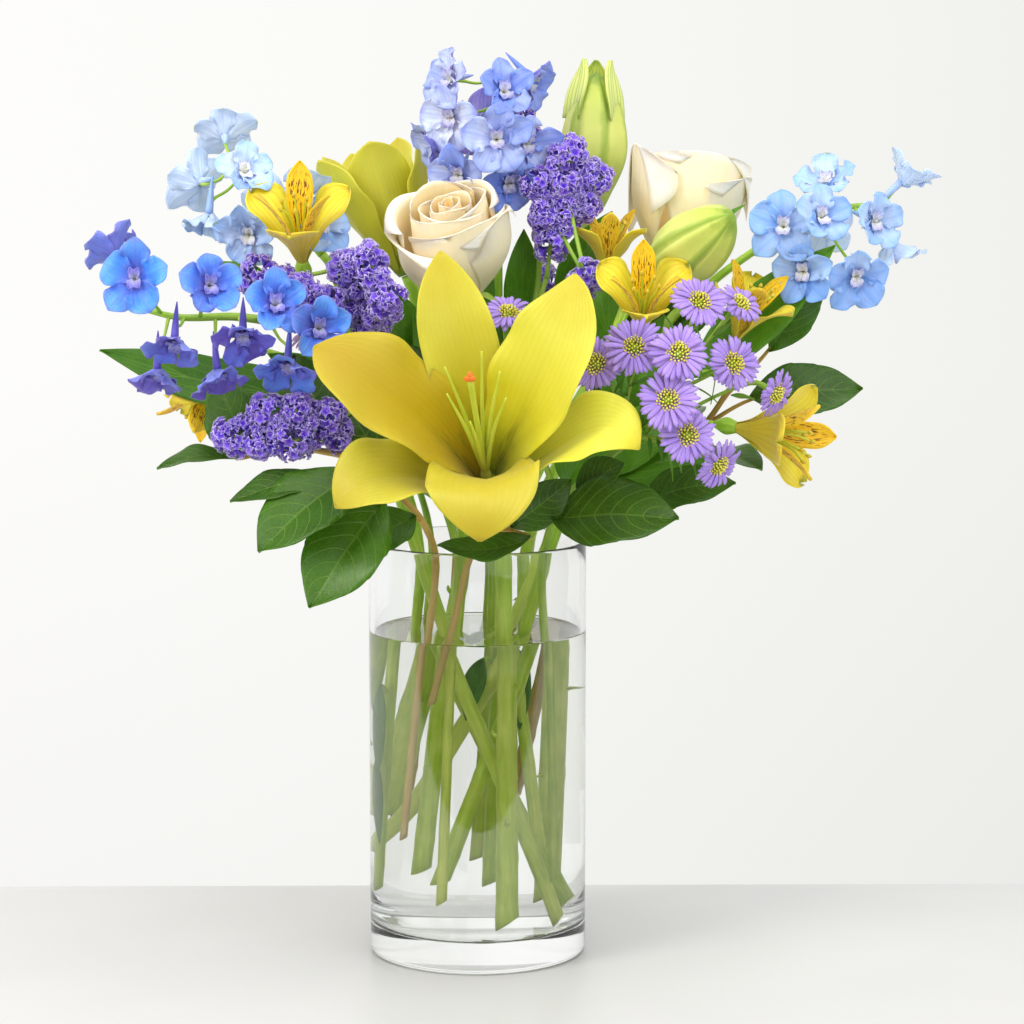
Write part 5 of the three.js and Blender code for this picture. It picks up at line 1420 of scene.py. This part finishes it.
def globe(count, cap=1.0):
    """Directions spread evenly over a globe, or over a cap of it round +Z."""
    k = np.arange(count) + 0.5
    z = 1 - k / count * 2 * cap
    turn = k * math.pi * (1 + 5**0.5)
    r = np.sqrt(1 - z * z)
    return np.stack([r * np.cos(turn), r * np.sin(turn), z], 1)


print("the first of ten directions on a globe:", globe(10)[0].round(2))

# %% One statice cup
# each ring's radius, its height, how far along the paper it is, and whether it is inside the cup
CUP = [
    (0.4, 0.0, 0, 0), (0.6, 2.4, 0.2, 0), (1.1, 4.6, 0.4, 0), (2.1, 6.2, 0.7, 0), (3.4, 7.0, 1, 0),
    (3.1, 7.2, 0.97, 1), (1.7, 6.0, 0.6, 1), (0.3, 4.4, 0.3, 1),
]
CUP_SIDES, CUP_HIGH = 10, 7.1
cup = Heap()
out, up, along, inside = (column[:, None] for column in vec(CUP).T)
angle = np.linspace(0, 2 * np.pi, CUP_SIDES, endpoint=False)
flare, lobes = (out / 3.4) ** 3, np.cos(5 * angle)
radius = out * (1 + 0.3 * lobes * flare)
points = np.stack([radius * np.cos(angle), radius * np.sin(angle), up - 0.8 * lobes * flare], -1)
skin = np.stack(np.broadcast_arrays(along, np.abs(angle / np.pi - 1), inside), -1)
faces, caps = tube_faces(len(CUP), CUP_SIDES)
cup.add(points.reshape(-1, 3), faces, skin.reshape(-1, 3), 0.5, 0.0, caps)
statice_cup = small_form(cup, "statice_cup")

# %% Statice heads
# each stem's branches, and each head's knots of cups with their radius
STATICE = {
    "left": (
        {"upper": [(-46, -34, 268), (-54, -36, 292)], "lower": [(-46, -34, 268), (-54, -42, 262)]},
        {
            "upper": [
                ((-67, -39, 309), 9), ((-82, -37, 315), 10), ((-98, -30, 321), 10), ((-60, -36, 325), 9),
                ((-48, -45, 328), 9), ((-41, -50, 311), 9), ((-49, -26, 298), 10), ((-60, -30, 306), 9),
                ((-54, -34, 316), 8),
            ],
            "lower": [
                ((-68, -53, 258), 10), ((-82, -58, 248), 10), ((-94, -54, 260), 10), ((-109, -54, 250), 10),
                ((-80, -56, 262), 9), ((-97, -56, 248), 9), ((-63, -50, 250), 8),
            ],
        },
    ),
    "centre": (
        {"middle": [(24, 4, 290), (32, -1, 318)], "rear": [(24, 4, 290), (29, 16, 320), (28, 27, 352)]},
        {
            "middle": [
                ((34, -5, 335), 9), ((40, -3, 350), 10), ((54, 1, 364), 9), ((43, 0, 373), 10), ((29, -2, 361), 9),
                ((50, -18, 319), 9), ((41, -6, 361), 8), ((49, -2, 352), 8), ((31, -6, 347), 8),
            ],
            "rear": [((26, 30, 374), 9), ((20, 33, 392), 9)],
        },
    ),
    "back": (
        {"back_left": [(0, 50, 265), (-12, 53, 284)], "back_right": [(0, 50, 265), (14, 55, 284)]},
        {
            "back_left": [((-20, 55, 298), 11), ((-24, 58, 314), 10)],
            "back_right": [((22, 58, 298), 11), ((32, 56, 312), 10)],
        },
    ),
}
FANS, CUPS_A_FAN = 10, 6
for number, (name, (branches, heads)) in enumerate(STATICE.items()):
    stalks = Heap()
    stem(stalks, "statice_" + name, joints=40, swell=0.05)
    for line in branches.values():
        thread(stalks, line, (1.6, 1.3, 1.2), sides=9, count=14)
    for group, knots in heads.items():
        places, aims, sizes, hubs = [], [], [], []
        last = vec(branches[group][-1])
        for k, (place, radius) in enumerate(knots):
            place = vec(place)
            thread(stalks, [last, (last + place) / 2 - (0, 0, 2), place], (1.2, 1.0, 1.0), sides=7, count=8)
            hubs.append((place, radius, FANS))
            if k and np.linalg.norm(last - place) < 30:  # a smaller knot fills the gap between neighbours
                hubs.append(((last + place) / 2, radius * 0.85, FANS // 2))
            last = place
        for place, radius, fans in hubs:
            spin = Stand(place, chance.normal(size=3))
            for way in spin.put(globe(fans)) - place:
                tuft = place + way * radius * between(0.3, 0.6)
                for _ in range(CUPS_A_FAN):
                    aim = unit(way + 0.6 * chance.normal(size=3))
                    size = between(0.6, 0.92)
                    places.append(tuft + aim * (radius * between(0.42, 0.66) - CUP_HIGH * size))
                    aims.append(unit(aim + 0.15 * chance.normal(size=3)))
                    sizes.append(size)
        piece = scatter(f"statice_{group}_cups", statice_cup, places, aims, sizes, STATICE_PURPLE, 31 + number)
        keep(piece, STATICE_PURPLE, ["statice_" + group])
    nodes = [f"statice_{name}_stem", *("statice_" + group for group in heads)]
    keep(form(stalks, f"statice_{name}_stalks"), FINE_STALK, nodes)

# %% [markdown]
# ## Asters
#
# An aster is not one flower but a head of many. Narrow lilac rays stand round a dome of tiny yellow-green disc
# florets, over a small green cup of scales. The rays could be copies of one ray turned round the disc, but real
# ones differ in length and lift, so each is a sheet of its own, and they lie in two layers, so that no gap shows
# between them. The disc's florets are all alike, so those are set on points.

# %% One floret of an aster's disc
DISC = rind("aster_disc_florets", "#bdb52c", ("#ddd444", "#eee878"), "#e6a92c", 1.0, 0.5, 0.3)
bead = Heap()
stalk(bead, [(0, 0, 0), (0, 0, 0.8), (0, 0, 1.4), (0, 0, 1.7)], (0.3, 0.36, 0.42, 0.12), sides=6)
disc_floret = small_form(bead, "aster_disc_floret")

# %% Aster heads
# where the side stalks start and fork, and each head's place, facing, radius and fork
ASTERS = {
    "right": (
        [(72, -52, 250), (72, -52, 250), (38, -30, 215)],
        [(72, -52, 250), (84, -56, 268), (66, -56, 262), (24, -20, 252)],
        [
            ((69, -84, 292), (-0.1, -0.9, 0.42), 14.5, 2), ((88, -91, 290), (0.05, -0.9, 0.42), 14, 1),
            ((98, -72, 311), (0.15, -0.8, 0.58), 13.5, 1), ((83, -95, 270), (0, -0.94, 0.34), 14.5, 0),
            ((92, -90, 254), (0.15, -0.93, 0.3), 13.5, 0), ((53, -76, 284), (-0.3, -0.88, 0.36), 13, 2),
            ((113, -72, 284), (0.4, -0.86, 0.3), 13.5, 1), ((117, -58, 309), (0.5, -0.6, 0.6), 11, 1),
            ((133, -58, 270), (0.65, -0.6, -0.3), 11.5, 0), ((106, -78, 240), (0.6, -0.7, -0.35), 12.5, 0),
            ((14, -58, 305), (0.1, -0.6, 0.8), 12, 3),
        ],
    ),
    "back": (
        [],
        [(-44, 48, 245)],
        [((-66, 66, 268), (-0.4, 0.8, 0.45), 14, 0), ((-78, 54, 290), (-0.6, 0.6, 0.5), 13.5, 0)],
    ),
}
RAYS, BEADS = 34, 84
RAY = profile((0, 0.3), (0.2, 0.7), (0.6, 1), (0.88, 0.85), (1, 0.3))
LANCE = profile((0, 0.25), (0.3, 0.95), (0.6, 0.8), (1, 0.06))
for name, (roots, forks, heads) in ASTERS.items():
    rays, stalks = Heap(), Heap()
    places, aims, sizes = [], [], []
    stem(stalks, "aster_" + name, joints=30, swell=0.06)
    for root, fork in zip(roots, forks[1:]):
        thread(stalks, [root, (vec(root) + fork) / 2 + (0, 0, 1), fork], (1.6, 1.4, 1.4), sides=9, count=16)
    for place, axis, radius, fork in heads:
        stand = Stand(place, axis)
        back = stand.put([(0, 0, -12), (0, 0, -3.2), (0, 0, -1)])
        thread(stalks, [forks[fork], *back], (1.2, 0.9, 0.8, 1.6), sides=8, count=22)
        thread(stalks, [(0, 0, -3.4), (0, 0, -1.6), (0, 0, 0.3)], (1.1, 3.2, 3.9), sides=14, count=8, stand=stand)
        for k in range(RAYS):
            azimuth = 360 * k / RAYS + sway(5)
            long = radius * between(0.84, 1.02)
            lift = (1.5 if k % 2 else 0.4) + sway(2.4)
            midrib = [
                (2.6, 0.5 + 0.5 * (k % 2)), (long * 0.45, 1.4 + lift), (long * 0.8, 1.2 + lift),
                (long, 0.4 + lift * 0.6),
            ]
            petal(
                rays, stand, azimuth, midrib, 1.12, RAY, rows=7, columns=5, thick=0.3, groove=0.12,
                cup=lambda t: -0.25 + 0 * t, tone=0.1 + 0.8 * chance.random(), age=0.5 * chance.random(),
            )
        for way in globe(BEADS, 0.42):
            places.append(stand.put(way * (5.0, 5.0, 3.2) - (0, 0, 1.2)))
            aims.append(unit(stand.put(way + (0, 0, 0.6)) - stand.place))
            sizes.append(0.95 + 0.35 * chance.random())
    # needle-like leaves along the side stalks
    needles = Heap()
    for place, axis, radius, fork in heads:
        low, high = vec(forks[fork]), Stand(place, axis).put((0, 0, -10))
        up = unit(high - low)
        for k in range(5):
            at = mix(low, high, 0.1 + 0.17 * k)
            out = outward(up, GOLDEN * k, 0.1)
            way = unit(out + 0.7 * up)
            long = between(9, 17)
            line = [at, at + way * long * 0.35, at + way * long * 0.7 + (0, 0, 1), at + way * long + out * 2]
            blade(
                needles, bezier(line, 9), lambda t: 1.5 * LANCE(t), face=up, fold=lambda t: 0.3 + 0 * t,
                columns=5, thick=0.3, tone=chance.random(),
            )
    keep(form(needles, f"aster_{name}_needles"), BROAD_LEAF, [f"aster_{name}_stem"])
    nodes = [f"aster_{name}_heads_{k + 1}" for k in range(len(heads))]
    keep(form(rays, f"aster_{name}_rays"), ASTER_LILAC, nodes)
    piece = scatter(f"aster_{name}_discs", disc_floret, places, aims, sizes, DISC, 47)
    keep(piece, DISC, nodes)
    keep(form(stalks, f"aster_{name}_stalks"), FINE_STALK, [f"aster_{name}_stem", *nodes])

# %% [markdown]
# ## Alstroemerias
#
# An alstroemeria has three broad tepals with green tips and three narrow, flecked ones that stand forward, over a
# ribbed green ovary. Long stamens curve out of the throat towards the lowest tepal. One tepal could be copied six
# times, but the two kinds differ in arch, width and cup, so each has its own midrib and its own profile.

# %% Alstroemeria blooms
# each bloom's place, facing, roll and size, and where its side stalk leaves the stem
ALSTROEMERIAS = {
    "left": {
        "a": ((-80, -20, 330), (-0.05, -0.5, 0.86), 0, 1, (-64, -8, 305)),
        "b": ((-122, 2, 272), (-0.45, -0.2, -0.75), 30, 0.75, (-50, -2, 270)),
    },
    "right": {
        "a": ((75, -34, 300), (0, -0.62, 0.78), 0, 0.9, (66, -4, 270)),
        "b": ((61, 5, 322), (0.02, -0.05, 0.99), 60, 0.72, (66, -4, 270)),
        "c": ((120, -18, 294), (0.3, -0.35, 0.88), 20, 0.8, (66, -4, 270)),
        "d": ((122, -30, 251), (0.85, -0.4, -0.1), 30, 1, (58, -6, 250)),
    },
}
BROAD = profile((0, 0.12), (0.25, 0.42), (0.6, 0.95), (0.8, 1), (0.93, 0.62), (1, 0.1))
NARROW = profile((0, 0.16), (0.3, 0.5), (0.65, 1), (0.88, 0.75), (1, 0.06))
OVARY = profile((0, 0.5), (0.5, 1), (1, 0.72))


def ovary_ribs(t, angle):
    return 1 + 0.09 * np.cos(6 * angle) * math.sin(math.pi * t)


for name, blooms in ALSTROEMERIAS.items():
    tepals, threads, stalks = Heap(), Heap(), Heap()
    stem(stalks, "alstroemeria_" + name, joints=42, swell=0.08)
    for place, axis, roll, size, fork in blooms.values():
        stand = Stand(place, axis, roll, size)
        for k in range(3):
            petal(
                tepals, stand, 270 + 120 * k, [(1.5, -5), (6, 10), (16, 24), (26.5, 25)], 11.5, BROAD, rows=24,
                cup=lambda t: 3.2 * t, ruffle=1.0, waves=2, groove=0.5, columns=15, thick=0.6,
                tone=0.2 + 0.6 * chance.random(),
            )
            petal(
                tepals, stand, 90 + 120 * k, [(1.2, -5), (4, 14), (10, 28), (20, 37.5)], 6.2, NARROW, rows=24,
                cup=lambda t: 1.4 * t, groove=0.5, thick=0.6, tone=0.2 + 0.6 * chance.random(), age=1.0,
            )
        for k in range(6):
            line = around(40 + 60 * k, [(0.8, -4.5), (2.4, 12), (4.2 + (k % 3), 24), (6.5 + (k % 2), 30)])
            line = line - np.outer([0, 0.5, 2.0, 4.5], (0, 1, 0))
            thread(threads, line, (0.8, 0.6, 0.5), tone=0.4, sides=7, stand=stand, count=14)
            tip = line[-1]
            thread(threads, [tip - (0, 0, 1.4), tip, tip + (0, 0, 1.6)], (0.4, 1.1, 0.4), tone=0.2, age=0.3,
                   sides=8, count=7, stand=stand)
        t = np.linspace(0, 1, 14)
        spine = np.stack([0 * t, 0 * t, mix(-14.2, -3.4, t)], 1)
        stalk(stalks, spine, 3.7 * size * OVARY(t), 24, tone=0.35, stand=stand, shape=ovary_ribs)
        under = stand.put([(0, 0, -22), (0, 0, -14)])
        thread(stalks, [fork, *under], (1.6, 1.3, 1.3), sides=9, count=24, tone=0.7)
    nodes = [f"alstroemeria_{name}_bloom_{key}" for key in blooms]
    stalk_nodes = [f"alstroemeria_{name}_stem", *nodes]
    keep(form(tepals, f"alstroemeria_{name}_tepals"), ALSTROEMERIA_GOLD, nodes)
    keep(form(threads, f"alstroemeria_{name}_threads"), FILAMENT, nodes)
    keep(form(stalks, f"alstroemeria_{name}_stalks"), GREEN_STEM, stalk_nodes)

# %% [markdown]
# ## Leaves
#
# Salal leaves are leathery ovals on short stalks, folded a little along the midrib and finely toothed. A flat card
# with a picture of a leaf would be lighter, but it shows as a card where a leaf is seen from its edge. Here each
# leaf runs from its twig along a smooth curve: stalk first, then the blade, bent gently back or forward.

# %% Leaf twigs
LEAF = profile((0, 0.02), (0.08, 0.34), (0.25, 0.84), (0.45, 1), (0.7, 0.8), (0.9, 0.34), (1, 0.02))


def leaf(blades, stalks, root, base, tip, face, half, bend=4.0, teeth=0.035):
    """A leaf with its stalk from root to base and its blade from base to tip. face is the way its upper side looks,
    and bend how far its middle stands out that way."""
    face = unit(face)
    line = spline([root, base, mix(vec(base), vec(tip), 0.5) + face * bend, tip], 120)
    start = max(int(np.argmin(np.linalg.norm(line - vec(base), axis=1))), 6)
    stalk(stalks, resample(line[: start + 4], 12), np.linspace(1.3, 0.8, 12), 8, tone=0.35)
    blade(
        blades, resample(line[start:], 40), lambda t: half * LEAF(t), face=face,
        fold=lambda t: half * 0.24 * (1 - t * 0.6), ruffle=half * 0.07, waves=2.2, groove=0.25, columns=15,
        teeth=teeth, tone=chance.random(),
    )


# each leaf's root, base, tip, facing, half width and perhaps bend
FOLIAGE = {
    "left": [
        ((-47, -52, 235), (-56, -62, 233), (-96, -88, 202), (-0.3, -0.75, 0.6), 19),
        ((-34, -50, 222), (-42, -64, 221), (-74, -86, 177), (-0.25, -0.9, 0.35), 19),
        ((-50, -51.7, 236.7), (-68, -59, 230), (-110, -68, 222), (0.1, -0.5, 0.86), 10),
        ((-94, -42.4, 243), (-108, -44, 239), (-144, -52, 235), (0, -0.3, 0.95), 9),
        ((-94, -42.4, 243), (-102, -34, 240), (-118, -28, 274), (-0.2, -0.95, 0), 14),
        ((-60, -49.6, 239.6), (-66, -44, 246), (-84, -22, 284), (0.2, -0.85, 0.3), 14),
        ((-34, -50, 222), (-40, -46, 232), (-62, -40, 268), (0, -0.95, 0.2), 13),
        ((-26, -42.6, 211), (-29, -48, 212), (-54, -62, 198), (0, -0.8, 0.6), 11),
    ],
    "front": [
        ((12, -53, 208), (24, -62, 205), (-18, -66, 202), (0, -0.6, 0.8), 9, -5),
        ((12, -53, 208), (16, -62, 211), (42, -66, 232), (0.3, -0.9, 0.2), 10),
        ((26, -55, 214), (34, -64, 214), (89, -84, 216), (0, -0.75, 0.65), 19),
        ((62, -46.6, 220), (74, -50, 220), (116, -60, 229), (0, -0.7, 0.7), 12),
        ((44, -52, 220), (46, -54, 226), (66, -66, 239), (0.2, -0.8, 0.5), 9),
    ],
    "right": [
        ((104, 14, 246), (128, 5, 261), (180, 3, 266), (0, -0.85, 0.5), 14),
        ((89, 22, 239), (106, -4, 236), (130, -34, 232), (0.3, -0.6, 0.7), 12),
        ((117, 5, 264), (136, 6, 284), (160, 6, 326), (0.3, -0.9, 0.1), 11),
        ((74, 30, 232), (82, 46, 240), (110, 78, 250), (0.2, 0.2, 0.95), 16),
        ((46, 40, 216), (56, 56, 224), (80, 98, 216), (0.1, 0.4, 0.9), 16),
    ],
    "back": [
        ((-12, 52, 214), (-24, 58, 216), (-70, 82, 210), (-0.2, 0.4, 0.9), 17),
        ((-12, 52, 214), (-12, 64, 214), (-22, 110.5, 200), (0, 0.5, 0.86), 17),
        ((-8, 66, 240), (6, 76, 236), (40, 108, 222), (0.2, 0.5, 0.84), 17),
        ((-1, 70, 260), (6, 80, 264), (34, 98, 288), (0.2, 0.7, -0.5), 14),
    ],
}
for name, leaves in FOLIAGE.items():
    blades, stalks = Heap(), Heap()
    for row in leaves:
        leaf(blades, stalks, *row)
    stem(stalks, "salal_" + name, joints=22, swell=0.12)
    nodes = ["foliage_" + name]
    keep(form(blades, f"salal_{name}_leaves"), SALAL_LEAF, nodes)
    keep(form(stalks, f"salal_{name}_twig"), TWIG_BARK, nodes)

# %% [markdown]
# The stems carry leaves of their own as well: long smooth ones on the lilies and alstroemerias, toothed ovals on
# the roses. They stand among the flowers and close the bouquet's middle, so that no light shows through it.

# %% The stems' own leaves
STEM_LEAVES = {
    "alstroemeria_left": [
        ((-64, -8, 305), (-88, -14, 310), (-126, -16, 325), (0.3, -0.8, 0.4), 7),
        ((-44, -1.4, 258), (-66, -8, 262), (-173, -20, 286), (0.3, -0.8, 0.5), 13, -8),
        ((-43, -1, 250), (-58, -8, 262), (-118, -34, 242), (0.1, -0.85, 0.5), 13, 8),
        ((-40, -1, 241), (-48, -8, 250), (-72, -30, 266), (0.1, -0.9, 0.3), 12),
        ((-33, 0.5, 124), (-37, -5, 128), (-43, -14, 86), (-0.6, -0.8, 0.1), 5),
        ((-35, 0.5, 92), (-40, -5, 94), (-42.5, -15, 54), (-0.6, -0.8, 0.1), 4.5),
    ],
    "delphinium_top": [
        ((6.6, 25.5, 140), (11, 14, 144), (15, -2, 108), (0.2, -0.95, 0.2), 5),
        ((6.4, 25.5, 134), (2, 14, 138), (-4, 2, 112), (-0.2, -0.95, 0.2), 4),
        ((9, 26, 232), (10, 36, 240), (2, 64, 276), (0, 0.9, 0.3), 10),
        ((9.5, 26, 252), (14, 36, 260), (30, 60, 292), (0.2, 0.9, 0.3), 10),
    ],
    "alstroemeria_right": [
        ((42, -8, 215), (50, -4, 224), (84, 4, 262), (-0.3, -0.85, 0.4), 9),
        ((64.5, -4.5, 266), (96, -8, 272), (164, -20, 334), (-0.3, -0.85, 0.1), 13, -4),
        ((56, -6, 246), (60, 2, 256), (88, 10, 300), (-0.4, -0.85, 0.2), 8),
        ((62, -5, 260), (58, -8, 270), (44, -22, 300), (0.3, -0.8, 0.4), 7),
        ((42, -8, 215), (52, -10, 228), (98, -30, 264), (-0.2, -0.9, 0.3), 13),
        ((50, -7, 232), (60, -8, 246), (86, -22, 292), (-0.2, -0.95, 0.1), 13),
        ((42, -8, 215), (56, -16, 224), (112, -36, 242), (0, -0.8, 0.6), 12),
        ((40.5, -8, 211), (42, -16, 224), (54, -34, 254), (0.1, -0.95, 0.2), 11),
        ((62, -5, 260), (62, 2, 280), (55, 8, 326), (0, -0.98, 0.1), 9),
    ],
    "lily_front": [
        ((66, -18, 297), (72, -12, 308), (121, -37, 353), (-0.5, -0.45, 0.7), 6.5),
        ((34, -37, 244), (38, -38, 256), (30, -52, 300), (0.2, -0.9, 0.2), 7),
    ],
    "lily_back": [
        ((-7, 26, 214), (-14, 24, 226), (-46, 20, 276), (0.4, -0.85, 0.3), 9),
        ((-10, 28, 234), (-12, 24, 248), (-30, 12, 300), (0.3, -0.9, 0.2), 9),
        ((-14, 31, 254), (-20, 28, 264), (-44, 12, 316), (0.2, -0.95, 0.1), 10),
        ((-14, 31, 254), (-8, 28, 268), (8, 16, 318), (-0.2, -0.95, 0.2), 9),
        ((14, 38, 275), (20, 34, 288), (22, 22, 340), (0.1, -0.95, 0.1), 9),
        ((30, 42, 295), (38, 38, 306), (64, 30, 348), (-0.3, -0.9, 0.2), 8),
        ((-8, 27.5, 218), (-14, 36, 226), (-54, 58, 260), (-0.2, 0.8, 0.4), 11),
        ((-14, 31, 254), (-18, 40, 262), (-46, 60, 300), (-0.2, 0.8, 0.3), 10),
        ((20, 39.5, 283), (22, 46, 292), (32, 68, 330), (0, 0.9, 0.2), 9),
    ],
    "delphinium_left": [
        ((-46, -20, 248), (-54, -18, 258), (-96, -16, 284), (0.3, -0.9, 0.4), 10),
        ((-40, -17, 232), (-50, -12, 240), (-92, -4, 262), (0.2, -0.8, 0.5), 11),
        ((-46, -20, 248), (-56, -10, 256), (-100, 18, 276), (-0.2, 0.6, 0.6), 11),
    ],
    "rose_left": [
        ((-5, 3, 250), (-14, 4, 256), (-52, -2, 288), (0.2, -0.85, 0.4), 14),
        ((-5, 3, 262), (2, 4, 270), (26, -6, 306), (-0.2, -0.9, 0.3), 13),
    ],
    "rose_right": [
        ((52, 30, 252), (58, 26, 262), (70, 14, 308), (-0.2, -0.95, 0.1), 15),
        ((70, 30, 282), (80, 26, 288), (114, 12, 306), (-0.1, -0.9, 0.5), 13),
        ((46, 30, 242), (40, 34, 254), (30, 36, 306), (0, -0.98, 0.1), 15),
        ((34, 28, 216), (38, 36, 226), (68, 64, 262), (0.2, 0.8, 0.4), 14),
        ((52, 30, 252), (58, 38, 262), (94, 58, 292), (0.2, 0.8, 0.4), 13),
    ],
}
for name, leaves in STEM_LEAVES.items():
    wax, teeth = (SALAL_LEAF, 0.035) if name.startswith("rose") else (BROAD_LEAF, 0.0)
    blades, stalks = Heap(), Heap()
    for row in leaves:
        leaf(blades, stalks, *row, teeth=teeth)
    keep(form(blades, f"{name}_leaves"), wax, [f"{name}_stem"])
    keep(form(stalks, f"{name}_leaf_stalks"), GREEN_STEM, [f"{name}_stem"])

# %% [markdown]
# ## Finish
#
# The small forms that were set on points have done their work and are taken away. The size of the finished
# arrangement is written beside that of the CAD model, so that the two can be compared.

# %% Tidy and measure
for spare in (statice_cup, disc_floret):
    bpy.data.objects.remove(spare)
sizes = {"cad": [list(map(float, row)) for row in cad_box], "visual": [list(map(float, row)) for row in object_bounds()]}
print(sizes)
